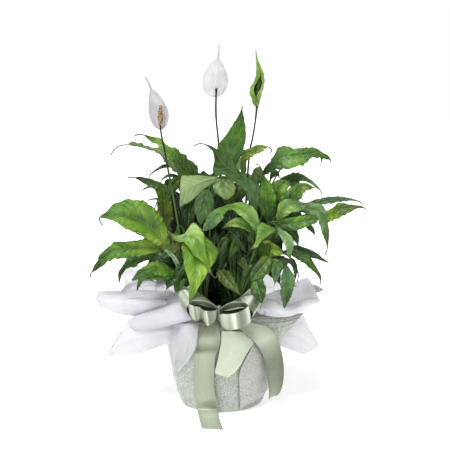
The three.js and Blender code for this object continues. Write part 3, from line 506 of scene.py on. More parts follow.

# Leaves drawn by their outline. Depth is y at the blade's base, middle and tip, tilt leans it back,
# and face is -1 where its underside shows. Tone runs from dark (0) to bright (1) and cool from olive
# (-1) to blue-green (1), along the leaf, and ruffle is how wavy it is. Tone is the leaf's own green
# together with painted light and shade: leaves and stretches of leaf that lie in shade have low tones,
# lit ones high tones. The blue-green end of cool is in part a painted reflection of the leaves' gloss.
# Each row is x and z of one edge, the midrib and the other edge, from the base to the tip. A row of two
# numbers is the base or a point of the hair at the tip.
DRAWN = [
    ("front_left", (-50, -70, -88), 0, 1, (0.8, 0.84, 0.74, 0.74, 0.95), (0.5, 0.4, 0.2, 0.1, -0.2), 1, [
        (-91, 311), (-84, 302, -82, 304, -80, 307), (-74, 297, -70, 302, -66, 310),
        (-67, 297, -58, 306, -51, 329), (-60, 289, -45, 300, -34, 316), (-54, 280, -41, 290, -30, 297),
        (-47, 271, -36, 276, -28, 280), (-32, 260, -28, 262, -24, 259), (-22, 243, -21, 245, -20, 247),
        (-16, 235), (-11, 230), (-7, 233), (-8, 239)]),
    ("front_left", (-40, -68, -98), -4, 1, (0.5, 0.68, 0.78, 0.84, 0.86), (-0.1, -0.1, 0, -0.1), 1, [
        (-42, 318), (-62, 303, -43, 302, -26, 303), (-71, 291, -43, 288, -12, 291),
        (-69, 278, -43, 275, -5, 279), (-67, 265, -43, 262, -11, 263), (-65, 247, -44, 246, -20, 247),
        (-60, 233, -46, 231, -29, 231), (-56, 216, -49, 216, -39, 215), (-57, 203, -52, 203, -46, 203),
        (-58, 192, -55, 192, -52, 192), (-57, 183)]),
    ("front_left", (-48, -62, -72), 25, 1, (0.35, 0.6, 0.66, 0.5), (-0.1, -0.2, 0, 0), 2, [
        (-80, 232), (-97, 255, -94, 244, -90, 232), (-110, 260, -106, 247, -102, 233),
        (-124, 257, -120, 246, -116, 234), (-138, 250, -133, 243, -128, 234),
        (-148, 244, -144, 238, -140, 232), (-155, 235, -153, 231, -150, 228), (-162, 225)]),
    ("front_left", (-58, -74, -84), 30, 1, (0.4, 0.5, 0.3), (0, 0.2, 0.2), 1, [
        (-84, 236), (-100, 241, -100, 235, -98, 228), (-115, 241, -115, 234, -113, 226),
        (-130, 238, -131, 232, -131, 226), (-141, 236, -142, 231, -140, 226),
        (-148, 229, -147, 225, -145, 221), (-151, 217, -149, 216, -148, 215), (-153, 207)]),
    ("front_right", (-54, -68, -80), 20, 1, (0.4, 0.5, 0.42), (-0.5, -0.3, 0), 1, [
        (90, 270), (76, 268, 84, 262, 92, 257), (66, 258, 76, 252, 90, 244), (58, 247, 68, 242, 82, 236),
        (53, 236, 62, 233, 72, 230), (55, 222)]),
    ("front_right", (-58, -72, -80), 15, 1, (0.56, 0.66, 0.74, 0.76, 0.8, 0.55, 0.5),
     (0.3, 0.4, 0.4, 0.2, 0.2, 0.8, 1), 2, [
        (66, 306), (62, 318, 65, 322, 69, 330), (54, 327, 59, 334, 66, 342), (45, 337, 51, 345, 59, 357),
        (35, 345, 41, 354, 47, 364), (25, 353, 31, 359, 38, 368), (19, 356, 22, 360, 27, 366),
        (11, 354, 11, 358, 11, 362), (4, 347, 1, 352, -4, 357), (2, 338, -7, 343, -16, 350),
        (-6, 331, -14, 336, -23, 343), (-13, 323, -20, 328, -28, 332), (-35, 315)]),
    ("front_right", (-48, -58, -64), 15, 1, (0.5, 0.6, 0.76, 0.86), (0, 0.2, 0.3, 0.3), 1, [
        (62, 306), (55, 314, 55, 317, 54, 320), (46, 319, 46, 324, 45, 330), (35, 323, 35, 330, 35, 339),
        (24, 325, 24, 331, 24, 338), (14, 325, 14, 329, 14, 332), (7, 323, 7, 325, 7, 326), (1, 320)]),
    ("front_right", (-36, -46, -40), 15, 1, (0.4, 0.5, 0.5, 0.42, 0.36, 0.25), (1, 0.9, 0.6, 0.2, 0, 0),
     1, [
        (62, 345), (50, 372, 58, 375, 68, 378), (46, 388, 55, 391, 68, 397), (36, 397, 46, 403, 57, 405),
        (22, 408, 33, 415, 42, 415), (6, 419, 18, 427, 27, 431), (-8, 418, 6, 437, 20, 446),
        (-13, 428, -2, 445, 8, 458), (-11, 443, -6, 453, -1, 463), (-13, 459, -11, 462, -8, 463),
        (-18, 465, -17, 466, -16, 468), (-27, 472), (-37, 474), (-49, 470)]),
    ("left", (2, -2, -6), 5, 1, (0.5, 0.55, 0.45, 0.42, 0.2), (-0.9, -0.8, -0.4, -0.1, 0), 2, [
        (-88, 312), (-105, 325, -97, 325, -87, 326), (-112, 342, -100, 342, -87, 342),
        (-113, 357, -101, 357, -88, 357), (-113, 372, -102, 374, -90, 374),
        (-114, 385, -103, 388, -92, 388), (-119, 393, -108, 399, -97, 398),
        (-127, 398, -120, 403, -113, 405), (-138, 404, -134, 408, -130, 411),
        (-148, 410, -147, 412, -146, 414), (-154, 413), (-160, 413), (-166, 413)]),
    ("left", (-2, -6, -10), 20, 1, (0.4, 0.5, 0.5, 0.3), (0, 0.5, 0.6, 0.4), 1, [
        (-118, 276), (-128, 265, -128, 270, -128, 275), (-140, 262, -140, 267, -140, 273),
        (-150, 256, -153, 264, -157, 271), (-157, 250, -162, 260, -167, 269),
        (-168, 249, -170, 256, -172, 261), (-176, 242, -178, 246, -179, 249),
        (-181, 234, -183, 236, -185, 239), (-185, 221)]),
    ("left", (-28, -38, -44), 8, 1, (0.86, 0.82, 0.72, 0.74, 0.7, 0.6, 0.5), (-0.5, -0.3, 0, 0.1, 0.3, 0.6),
     2, [
        (-92, 284), (-94, 300, -100, 293, -108, 288), (-97, 318, -110, 305, -122, 295),
        (-103, 334, -121, 318, -136, 304), (-113, 349, -134, 328, -151, 312),
        (-125, 360, -147, 336, -163, 319), (-140, 371, -161, 342, -173, 322),
        (-153, 372, -174, 345, -181, 329), (-167, 374, -185, 346, -189, 334),
        (-181, 368, -194, 346, -197, 337), (-193, 364, -202, 346, -203, 339),
        (-201, 355, -208, 345, -208, 340), (-209, 348, -213, 343, -213, 340), (-218, 341), (-218, 335),
        (-216, 330), (-212, 326)]),
    ("left", (-14, -22, -30), 22, 1, (0.82, 0.8, 0.66, 0.6, 0.55, 0.4), (-0.5, -0.3, 0.1, 0.1, 0, 0), 2, [
        (-102, 284), (-112, 291, -112, 285, -112, 279), (-125, 298, -127, 287, -130, 275),
        (-143, 299, -146, 287, -148, 272), (-160, 297, -164, 285, -167, 270),
        (-178, 296, -181, 281, -182, 266), (-192, 296, -193, 279, -191, 266),
        (-200, 288, -203, 273, -203, 261), (-209, 281, -211, 266, -210, 256),
        (-217, 273, -217, 262, -216, 251), (-222, 262, -222, 255, -222, 248),
        (-229, 251, -228, 247, -227, 244), (-234, 240), (-237, 235), (-237, 230)]),
    ("left", (22, 28, 28), 60, -1, (0.95, 0.85, 0.6, 0.3, 0.15, 0.1), (0.4, 0.4, 0.3, 0, 0), 2, [
        (-68, 410), (-66, 430, -72, 424, -76, 420), (-76, 438, -81, 432, -85, 428),
        (-86, 446, -90, 441, -94, 437), (-97, 456, -100, 452, -103, 448), (-109, 465, -111, 461, -113, 458),
        (-118, 466, -119, 464, -121, 461), (-130, 468, -130, 466, -131, 464),
        (-142, 473, -142, 470, -142, 467), (-152, 477, -151, 472, -150, 468),
        (-159, 478, -158, 474, -158, 470), (-165, 473), (-176, 471), (-184, 468), (-192, 461),
        (-196, 453)]),
    ("right", (-18, -22, -22), 18, 1, (0.5, 0.66, 0.76, 0.6), (0, -0.1, 0, 0.1), 2, [
        (84, 330), (74, 346, 84, 348, 95, 348), (68, 366, 81, 368, 98, 368), (69, 386, 80, 387, 95, 388),
        (72, 401, 79, 403, 88, 403), (76, 413, 77, 413, 79, 413), (75, 422)]),
    ("right", (-8, -12, -16), 10, 1, (0.5, 0.62, 0.7, 0.6), (0, 0, 0.3, 0), 1, [
        (94, 345), (90, 362, 98, 362, 106, 358), (90, 382, 102, 380, 114, 374),
        (93, 400, 105, 395, 117, 388), (103, 408, 112, 403, 120, 396), (123, 406)]),
    ("right", (2, -2, -10), 20, 1, (0.5, 0.5, 0.56, 0.66, 0.66, 0.6, 0.5),
     (0.6, 0.6, 0.5, 0.2, 0.1, 0.1, -0.5), 3, [
        (74, 419), (80, 430, 80, 425, 81, 420), (90, 442, 90, 432, 90, 425), (97, 455, 99, 441, 100, 428),
        (103, 467, 109, 449, 111, 429), (118, 469, 121, 451, 122, 430), (132, 464, 134, 452, 135, 434),
        (146, 466, 147, 453, 147, 436), (159, 466, 160, 456, 157, 446), (170, 465, 170, 458, 168, 451),
        (180, 458, 181, 454, 179, 448), (190, 452, 189, 450, 187, 447), (195, 445), (196, 440)]),
    ("right", (10, 8, 4), 42, 1, (0.55, 0.5, 0.44, 0.6, 0.85, 0.75), (-0.2, -0.1, 0.3, 0.8, 1, 0.8), 2, [
        (98, 395), (108, 412, 108, 405, 110, 397), (120, 417, 121, 407, 122, 396),
        (133, 420, 132, 410, 136, 400), (146, 418, 143, 413, 141, 407), (153, 413, 151, 410, 148, 408),
        (164, 406, 162, 404, 160, 403), (173, 397, 172, 396, 171, 395), (178, 390), (181, 384)]),
    ("right", (-25, -32, -38), 15, 1, (0.6, 0.7, 0.66, 0.6, 0.4), (0.9, 0.7, 0, -0.5, -0.5), 2, [
        (108, 356), (108, 372, 116, 367, 124, 362), (118, 388, 126, 379, 136, 370),
        (130, 397, 136, 388, 144, 378), (142, 402, 145, 396, 149, 387), (152, 402, 153, 397, 155, 391),
        (159, 399, 160, 396, 160, 392), (165, 395), (169, 396)]),
    ("right", (-36, -42, -48), 20, 1, (0.62, 0.74, 0.72, 0.66, 0.6), (0.1, 0.3, 0.4, 0.4, 0.4), 1, [
        (103, 322), (101, 338, 105, 335, 110, 336), (102, 352, 108, 347, 114, 341),
        (106, 366, 114, 358, 121, 347), (118, 374, 123, 364, 128, 352), (132, 373, 134, 364, 136, 352),
        (145, 368, 146, 362, 146, 356), (157, 366)]),
    ("right", (-20, -28, -34), 20, 1, (0.7, 0.84, 0.86, 0.6, 0.55, 0.3), (-0.3, -0.5, -0.5, -0.5, -0.5),
     2, [
        (150, 345), (172, 352, 172, 345, 172, 338), (188, 352, 190, 343, 191, 334),
        (198, 357, 200, 347, 200, 336), (210, 366, 210, 355, 210, 341), (219, 366, 219, 356, 219, 345),
        (230, 364, 230, 358, 230, 351), (241, 362, 241, 360, 241, 357), (251, 361, 251, 360, 251, 359),
        (257, 358), (260, 356)]),
    ("right", (-34, -42, -48), 10, 1, (0.66, 0.66, 0.6, 0.5, 0.4, 0.3), (0.9, 1, 1, 0.9, 0.6, 0.4), 1, [
        (140, 352), (150, 350, 152, 357, 155, 365), (160, 347, 164, 355, 168, 366),
        (168, 346, 174, 352, 182, 362), (173, 343, 181, 344, 188, 350), (177, 333, 184, 334, 190, 336),
        (181, 320, 188, 321, 193, 321), (186, 306, 190, 307, 194, 307), (190, 296, 191, 296, 193, 296),
        (192, 287), (191, 279), (188, 272)]),
    ("right", (-46, -56, -62), 15, 1, (0.5, 0.5, 0.56, 0.4), (0.3, 0, -0.1, 0.1), 1, [
        (103, 322), (109, 332, 112, 327, 116, 322), (119, 338, 123, 329, 128, 318),
        (132, 340, 136, 330, 140, 319), (145, 343, 149, 333, 151, 324), (158, 343, 161, 335, 163, 328),
        (168, 340, 169, 336, 170, 331), (175, 338)]),
    ("right", (-62, -72, -80), 5, 1, (0.8, 0.8, 0.78, 0.7, 0.6), (0.8, 0.8, 0.7, 0.6, 0.6), 1, [
        (102, 323), (104, 314, 107, 316, 110, 317), (109, 304, 114, 308, 119, 312),
        (114, 296, 120, 300, 127, 304), (118, 288, 124, 291, 130, 293), (120, 279, 124, 281, 128, 281),
        (122, 271, 124, 271, 126, 271), (127, 258)]),
    ("right", (-35, -42, -50), 20, 1, (0.3, 0.36, 0.3, 0.2), (0, 0.1, 0.2, 0), 1, [
        (122, 281), (131, 289, 132, 283, 132, 276), (146, 286, 146, 279, 146, 271),
        (160, 281, 160, 274, 160, 268), (172, 275, 172, 270, 172, 266), (183, 266, 183, 264, 183, 262),
        (195, 258)]),
    ("right", (-48, -58, -66), 20, 1, (0.36, 0.45, 0.4, 0.2), (0.1, 0.1, -0.2, 0), 1, [
        (122, 277), (133, 269, 135, 273, 137, 277), (143, 263, 147, 268, 151, 273),
        (153, 256, 157, 262, 161, 267), (163, 247, 165, 252, 167, 257), (171, 240, 172, 243, 174, 245),
        (178, 231, 179, 232, 180, 234), (181, 223), (180, 217)]),
    ("right", (-72, -86, -98), 0, 1, (0.6, 0.56, 0.5, 0.45), (0.7, 0.7, 0.6, 0.4), 2, [
        (118, 253), (113, 240, 119, 243, 126, 243), (111, 228, 121, 228, 132, 228),
        (110, 214, 120, 214, 131, 212), (110, 200, 118, 200, 127, 198), (112, 187, 117, 187, 122, 186),
        (115, 173)]),
    ("right", (-50, -58, -62), 25, 1, (0.6, 0.74, 0.7), (0, -0.2, 0), 1, [
        (84, 255), (91, 262, 92, 256, 93, 248), (101, 263, 102, 255, 104, 245),
        (110, 261, 110, 254, 112, 247), (121, 256)]),
    ("right", (-30, -42, -50), 25, 1, (0.5, 0.68, 0.72, 0.6), (-0.3, -0.3, -0.5, 0), 2, [
        (66, 262), (66, 283, 72, 277, 80, 266), (72, 294, 81, 284, 90, 270), (84, 297, 90, 286, 98, 271),
        (94, 293, 100, 283, 106, 272), (104, 286, 108, 280, 111, 273), (119, 274)]),
    ("right", (-52, -62, -72), 10, 1, (0.8, 0.84, 0.76, 0.84, 0.95), (0.2, 0.1, 0.3, 0.2, 0), 2, [
        (103, 322), (96, 317, 95, 320, 93, 322), (88, 312, 86, 318, 83, 326), (81, 305, 78, 314, 73, 331),
        (74, 300, 72, 308, 67, 322), (69, 295, 67, 300, 65, 308), (65, 288, 64, 292, 63, 297),
        (60, 286, 60, 288, 60, 290), (53, 282)]),
    ("middle", (0, -6, -10), 5, 1, (0.5, 0.62, 0.55, 0.58, 0.5), (0.6, 0.5, 0.1, 0, -0.3), 1, [
        (24, 430), (0, 448, 18, 446, 33, 450), (-5, 462, 17, 458, 38, 460), (-3, 474, 20, 470, 40, 472),
        (5, 483, 24, 482, 43, 482), (13, 493, 28, 494, 43, 494), (22, 508, 31, 508, 42, 508),
        (30, 520, 34, 520, 40, 519), (37, 534), (38, 540)]),
    ("middle", (-6, -12, -14), 30, 1, (0.5, 0.58, 0.66, 0.6, 0.4), (-0.7, -0.6, -0.5, -0.4), 1, [
        (40, 412), (37, 425, 40, 425, 44, 427), (36, 440, 40, 440, 44, 441), (38, 455, 43, 452, 49, 447),
        (42, 462, 49, 457, 55, 451), (52, 465, 57, 460, 61, 455), (62, 470, 66, 465, 70, 459),
        (73, 471, 75, 468, 77, 463), (82, 468), (87, 467), (90, 462), (88, 457)]),
    ("middle", (-18, -24, -26), 22, 1, (0.8, 1.0, 0.95), (0.5, 0.55, 0.3), 1, [
        (0, 416), (-10, 410, 3, 411, 14, 410), (-15, 399, 3, 400, 24, 400), (-11, 387, 5, 388, 25, 388),
        (0, 379, 8, 379, 20, 380), (11, 372)]),
    ("middle", (-28, -40, -46), 6, -1, (0.9, 0.86, 0.84, 0.8), (0.3, 0.2, 0.1, 0), 0.2, [
        (-4, 413), (-20, 414, -19, 411, -16, 404), (-32, 415, -31, 407, -27, 396),
        (-45, 416, -43, 402, -36, 387), (-58, 416, -55, 397, -45, 378), (-69, 415, -63, 391, -55, 370),
        (-72, 400, -68, 383, -63, 366), (-73, 385, -71, 375, -68, 364), (-73, 372, -72, 368, -71, 362),
        (-74, 360), (-71, 357)]),
    ("middle", (2, 4, 10), 25, 1, (0.35, 0.4, 0.42, 0.55, 0.8, 0.75, 0.5, 0.3),
     (0, -0.2, -0.5, -0.3, 0.2, 0.2, 0, 0), 3, [
        (-14, 411), (-27, 415, -30, 410, -30, 405), (-40, 421, -43, 412, -45, 403),
        (-43, 434, -54, 417, -58, 405), (-50, 440, -60, 424, -66, 410), (-60, 446, -66, 432, -72, 420),
        (-62, 453, -71, 440, -78, 432), (-72, 457, -76, 446, -84, 440), (-79, 465, -85, 454, -91, 447),
        (-88, 467, -93, 460, -97, 453), (-98, 471, -99, 466, -102, 460), (-106, 481, -107, 476, -108, 469),
        (-113, 484, -115, 479, -116, 474), (-121, 485, -122, 480, -123, 477),
        (-128, 487, -128, 485, -129, 482), (-136, 489), (-142, 490), (-148, 490), (-154, 487)]),
    ("middle", (2, -4, -8), 10, -1, (0.5, 0.6, 0.5), (-0.4, -0.3, -0.6), 2, [
        (60, 398), (57, 412, 66, 411, 74, 408), (58, 424, 66, 424, 75, 420), (62, 430, 68, 430, 73, 429),
        (70, 433), (62, 438)]),
]

# The other leaves: base, middle and tip of the blade, width, tilt of the upper side in degrees (0 to
# the front, 90 upward, 180 to the back), tone, cool and ruffle. Tone and cool hold painted light and
# shade as above: the leaves deep inside the clump have low tones for the shade there.
LEAVES = {
    "front_left": [
        ((-79, -42, 318), (-81, -48, 285), (-80, -52, 252), 17, 0, 0.42, -0.9, 1),
        ((-22, -46, 392), (-33, -55, 354), (-38, -62, 318), 34, 5, 0.48, 0.6, 1.5),
        ((-50, -24, 388), (-57, -34, 352), (-60, -42, 316), 32, 10, 0.34, 0, 1),
        ((-74, -52, 240), (-90, -62, 272), (-118, -66, 290), 9, 40, 0.9, 0.8, 1),
        ((-62, -50, 262), (-76, -58, 240), (-84, -62, 214), 20, 10, 0.3, 0.2, 1),
        ((-70, -40, 300), (-98, -50, 272), (-112, -58, 262), 18, 30, 0.5, 0, 1),
        ((-74, 6, 262), (-112, 30, 250), (-166, 44, 206), 34, 10, 0.4, 0, 1),
        ((-70, 6, 250), (-100, 30, 232), (-128, 44, 200), 26, 10, 0.25, 0, 1),
        ((-78, -50, 240), (-92, -62, 224), (-102, -68, 200), 24, 20, 0.45, 0, 1),
        ((-68, -48, 238), (-78, -60, 216), (-86, -66, 196), 20, 10, 0.6, 0.1, 1),
        ((-66, -44, 300), (-64, -50, 262), (-74, -56, 222), 24, 10, 0.2, 0, 1),
    ],
    "front_right": [
        ((-4, -60, 244), (15, -80, 222), (42, -106, 190), 24, 15, 0.42, -0.7, 2),
        ((8, -30, 304), (0, -42, 284), (-10, -50, 258), 17, 20, 0.34, -0.3, 1),
        ((20, -28, 312), (32, -40, 298), (47, -50, 270), 19, 25, 0.3, 0, 1),
        ((36, -34, 304), (24, -44, 286), (12, -54, 256), 17, 15, 0.42, -0.5, 1),
        ((50, -32, 300), (59, -42, 282), (64, -52, 252), 17, 15, 0.34, 0, 1),
        ((30, -38, 264), (41, -50, 254), (54, -60, 226), 16, 30, 0.38, -0.6, 1),
        ((8, -36, 264), (-1, -48, 248), (-13, -58, 222), 16, 30, 0.26, 0, 1),
        ((62, -38, 264), (49, -50, 252), (38, -60, 222), 17, 20, 0.3, -0.3, 1),
        ((33, -34, 276), (43, -44, 252), (42, -52, 226), 8, 20, 0.85, 0.3, 1),
        ((62, -72, 232), (69, -92, 204), (76, -108, 172), 28, 0, 0.42, 0.2, 2),
        ((14, -12, 302), (-6, -18, 292), (-29, -24, 282), 18, 20, 0.2, 0.3, 1),
        ((22, -26, 288), (2, -40, 268), (-4, -50, 236), 12, 20, 0.4, -0.2, 1),
        ((26, -30, 288), (38, -40, 262), (30, -46, 226), 18, 15, 0.2, 0, 1),
        ((50, -30, 318), (54, -36, 296), (50, -40, 268), 12, 10, 0.5, 0.8, 1),
        ((22, -6, 300), (30, -4, 350), (38, 4, 404), 46, 5, 0.06, 0, 1),
        ((54, -14, 240), (64, -20, 262), (58, -24, 290), 34, 10, 0.12, 0, 1),
    ],
    "left": [
        ((-70, -4, 410), (-86, -8, 398), (-92, -10, 366), 20, 10, 0.4, -0.4, 1),
        ((-100, 12, 366), (-116, 14, 374), (-138, 14, 371), 6, 60, 0.2, 0, 1),
        ((-72, 30, 424), (-100, 32, 433), (-138, 30, 410), 10, 45, 0.34, 0.2, 1),
        ((-70, 26, 406), (-92, 28, 417), (-114, 26, 401), 10, 45, 0.3, 0, 1),
        ((-74, 14, 404), (-84, 16, 392), (-96, 16, 372), 6, 45, 0.2, 0, 1),
        ((-110, 22, 398), (-130, 22, 396), (-146, 20, 387), 7, 45, 0.4, 0, 1),
        ((-64, 8, 316), (-76, 6, 348), (-80, 4, 388), 42, 5, 0.16, 0, 1),
        ((-84, 6, 268), (-92, 4, 300), (-92, 2, 334), 36, 5, 0.2, 0, 1),
    ],
    "right": [
        ((130, 8, 355), (208, 4, 372), (260, 2, 365), 15, 55, 0.5, 0.7, 1),
        ((150, -18, 327), (163, -20, 320), (174, -22, 301), 10, 10, 0.3, -0.4, 1),
        ((104, -30, 330), (128, -38, 312), (143, -42, 291), 24, 10, 0.3, 0, 1),
        ((124, -52, 268), (135, -60, 243), (131, -66, 208), 10, 60, 0.3, 0.6, 1),
        ((110, -62, 262), (100, -76, 244), (98, -86, 213), 20, 10, 0.55, 0.9, 1),
        ((168, -6, 456), (180, -10, 446), (175, -12, 428), 3.2, 0, 0.3, 0, 1),
        ((88, 6, 408), (97, 4, 422), (107, 2, 408), 12, 20, 0.6, 0.4, 2),
        ((108, -20, 362), (130, -26, 350), (150, -30, 336), 26, 20, 0.4, -0.4, 1),
        ((72, 8, 320), (74, 6, 366), (64, 4, 408), 38, 5, 0.12, 0.2, 1),
        ((88, 8, 318), (116, 4, 350), (150, 2, 356), 34, 20, 0.2, 0, 1),
        ((84, -20, 262), (100, -26, 290), (118, -30, 306), 30, 20, 0.2, 0, 1),
        ((70, -34, 302), (81, -44, 288), (88, -54, 260), 19, 20, 0.36, -0.4, 1),
        ((84, -38, 248), (97, -50, 238), (110, -60, 212), 19, 20, 0.34, 0.2, 1),
    ],
    "back_left": [
        ((-36, 44, 262), (-34, 36, 232), (-28, 30, 196), 34, 10, 0.3, 0, 1),
        ((-12, 46, 275), (-10, 40, 242), (-8, 34, 206), 28, 10, 0.2, 0, 1),
    ],
    "back_right": [
        ((26, 44, 268), (22, 38, 238), (16, 32, 200), 32, 10, 0.16, 0, 1),
        ((46, 42, 270), (48, 34, 240), (46, 28, 206), 30, 10, 0.2, 0, 1),
    ],
    "middle": [
        ((-16, 14, 310), (-12, 12, 354), (0, 10, 398), 50, 5, 0.1, 0, 1),
        ((-20, 6, 286), (-30, 4, 316), (-36, 2, 348), 40, 5, 0.14, 0, 1),
        ((-50, 10, 320), (-58, 8, 356), (-54, 6, 396), 34, 5, 0.1, 0, 1),
    ],
}

# Leaves behind: tiers of [reach, base radius, base z, middle z, tip z, width], then the azimuth and
# tier of each leaf of a crown, first of those that the solids have, then of the smaller ones between.
BACK_TIERS = ((185, 95, 262, 292, 236, 36), (160, 80, 330, 368, 322, 36), (120, 48, 392, 436, 410, 36),
              (116, 48, 362, 404, 378, 36))
BACK_LEAVES = {
    "left": ((158, 0), (146, 1)), "right": ((30, 0), (40, 1)), "middle": ((48, 3),),
    "back_left": ((126, 0), (112, 1), (130, 3), (108, 3)),
    "back_right": ((90, 0), (62, 0), (78, 1), (70, 2)),
}
FILL_TIERS = ((158, 70, 238, 256, 212, 40), (150, 74, 292, 330, 280, 42), (128, 52, 352, 400, 364, 40))
FILL_LEAVES = {
    "left": ((172, 0), (164, 1), (150, 2)), "right": ((46, 0), (14, 0), (22, 1)), "middle": ((92, 2),),
    "back_left": ((142, 0), (108, 0), (134, 1), (120, 2)),
    "back_right": ((74, 0), (98, 1), (58, 1), (56, 2)),
}
BACK_TILT = 70
INNER_LEAVES = 9
INNER_SPREAD = 42.0
INNER_HEIGHTS = 182, 318
# The inner leaves' low tones are painted shade.
INNER_RANGES = (20, 36), (20, 80), (0.02, 0.34), (-0.3, 0.4)  # of width, tilt, tone and cool


# Share of the full width from the blade's base to its tip, widest at peak.
def blade_shape(s, peak):
    rise = 0.8
    fall = rise * (1 - peak) / peak
    return s**rise * (1 - s) ** fall / (peak**rise * (1 - peak) ** fall)


# The part of a vector that stands square to a tangent.
def squared(vector, tangent):
    return unit(vector - tangent * vector.dot(tangent))


# Normals along a curve without twist, from the way it faces at one step.
def carried_normals(tangents, start, facing):
    normals = np.zeros_like(tangents)
    normals[start] = squared(facing, tangents[start])
    for k in range(start + 1, len(tangents)):
        normals[k] = squared(normals[k - 1], tangents[k])
    for k in range(start - 1, -1, -1):
        normals[k] = squared(normals[k + 1], tangents[k])
    return normals


def blade_curve(base, middle, tip, steps):
    t = np.linspace(0, 1, steps + 1)[:, None]
    control = 2 * middle - 0.5 * base - 0.5 * tip
    point = (1 - t) ** 2 * base + 2 * t * (1 - t) * control + t**2 * tip
    return point, unit((1 - t) * (control - base) + t * (tip - control))


def facing_of(tilt):
    return np.array([0, -cosine(tilt), sine(tilt)])


# The tip bends out of its line and hooks over: the centre line is walked again from there.
def hooked(point, tangent, normal, side, s, draw):
    begin = draw.uniform(0.74, 0.84)
    bend = draw.uniform(0.4, 2.2) * smooth(begin, 1, s)[:, None] ** 1.2
    towards = unit(-normal * 0.8 + side * draw.uniform(-0.9, 0.9) + (0, 0, -0.5))
    direction = unit(tangent * np.cos(bend) + towards * np.sin(bend))
    stretch = np.linalg.norm(np.diff(point, axis=0), axis=1)[:, None]
    return point[:1] + np.concatenate([np.zeros((1, 3)), np.cumsum(direction[1:] * stretch, axis=0)])


# A blade on its midrib, with a vector from the midrib to each edge at every step. The numbers kept per
# point place its veins, rib and hair, its tones, and how much of its underside shows.
def add_blade(piece, point, left, right, normal, width, tone, cool, ruffle, draw, columns=BLADE_COLUMNS):
    s = np.linspace(0, 1, len(point))[:, None]
    length = np.linalg.norm(np.diff(point, axis=0), axis=1).sum()
    a = np.linspace(-1, 1, columns)[None]
    reach = np.abs(a)
    on_left = lambda first, second: np.where(a < 0, first, second)
    half = on_left(*(np.linalg.norm(edge, axis=1)[:, None] for edge in (left, right)))
    half = np.maximum(half, LEAST_HALF_WIDTH)
    # Scallops along each edge: round lobes between sharp notches, of uneven length.
    lobes = length / draw.uniform(*LOBE_LENGTHS)
    sway = on_left(draw.uniform(0, 6), draw.uniform(0, 6))
    phase = math.pi * lobes * s + sway + 1.3 * np.sin(9 * s + sway) + 0.8 * np.sin(23 * s + 2 * sway)
    scallop = np.abs(np.sin(phase)) - 0.6
    full = smooth(1.5, 9, half)
    grow = 1 + reach**3 * full * scallop * (0.4 + 0.7 * ruffle) / np.maximum(half, 4)
    edge = np.where((a < 0)[..., None], left[:, None], right[:, None])
    flat = point[:, None] + edge * (reach * grow)[..., None]

    # Off the flat: an arch on each side, a slow roll, the edge's ruffle, and ridges between the veins.
    vein = (s * length - 0.95 * width * reach**1.3 * (1 - 0.4 * s)) / VEIN_GAP
    calm = min(1, ruffle) * half
    roll = on_left(draw.uniform(-1, 1), draw.uniform(-1, 1))
    lift = ARCH * calm * np.sin(math.pi * reach)
    lift = lift + ROLL * calm * reach**1.5 * np.sin(FULL_TURN * (1.1 * s + 0.3 * roll) + 4 * roll)
    lift = lift + (0.5 + 0.7 * ruffle) * full * reach**2 * np.sin(2 * phase + 0.7)
    lift = lift + 0.3 * ruffle * full * reach**3 * np.sin(3.7 * phase + sway)
    ridge = np.cos(FULL_TURN * vein) * smooth(0.05, 0.3, reach) * (1 - smooth(0.8, 1, reach))
    lift = lift + VEIN_RELIEF * ridge * full
    # Half the blade's thickness: more at the rib and in the hair, none at the edge.
    thick = (0.2 + 0.28 * (1 - reach) ** 2 + 0.4 * smooth(2.4, 1.3, half)) * (reach < 1)

    middle = flat + normal[:, None] * lift[..., None]
    top = middle + normal[:, None] * thick[..., None]
    bottom = (middle - normal[:, None] * thick[..., None])[:, 1:-1][:, ::-1]

    def both(values):
        values = np.broadcast_to(values, half.shape)
        return np.concatenate([values, values[:, 1:-1][:, ::-1]], 1)

    from_edge = np.broadcast_to(np.where(reach < 1, 0.0, 0.5), half.shape)
    under = np.concatenate([from_edge, np.ones_like(bottom[..., 0])], 1)
    add_loft(piece, np.concatenate([top, bottom], axis=1), across=both(a), along=both(s), vein=both(vein),
             rib=both(half * a), under=under, tone=both(tone[:, None]), cool=both(cool[:, None]),
             hair=both(smooth(3.4, 1.2, half)))


# The stalk, thicker at its foot and at the joint under the blade, runs on as the midrib's back.
def add_stalk(piece, root, point, tangent, normal, width, tone):
    base = point[0]
    distance = np.linalg.norm(base - root)
    u = np.linspace(0, 1, STALK_STEPS)[:, None]
    start, end = root + (0, 0, 0.65 * distance), base - tangent[0] * 0.2 * distance
    stalk = (1 - u) ** 3 * root + 3 * u * (1 - u) ** 2 * start + 3 * u**2 * (1 - u) * end + u**3 * base
    swell = 1.35 - 0.5 * smooth(0, 0.35, u[:, 0]) + 0.16 * smooth(0.84, 0.93, u[:, 0])
    stalk_radius = PETIOLE_RADIUS * mix(0.75, 1.0, min(1.0, width / 30)) * swell
    count = len(point)
    rib = slice(1, max(3, int(0.72 * count)))
    rib_share = np.linspace(0, 1, count)[rib]
    radius = mix(stalk_radius[-1] * 0.75, 0.3, smooth(0, 0.7, rib_share))
    path = np.concatenate([stalk[:-1], point[rib] - normal[rib] * (radius * 0.55)[:, None]])
    under = np.concatenate([np.zeros(STALK_STEPS - 1), smooth(0, 0.12, rib_share)])
    radii = np.concatenate([stalk_radius[:-1], radius])
    add_tube(piece, path, radii, sides=8, stalk=1 - under, under=under, tone=tone, **OFF_BLADE)


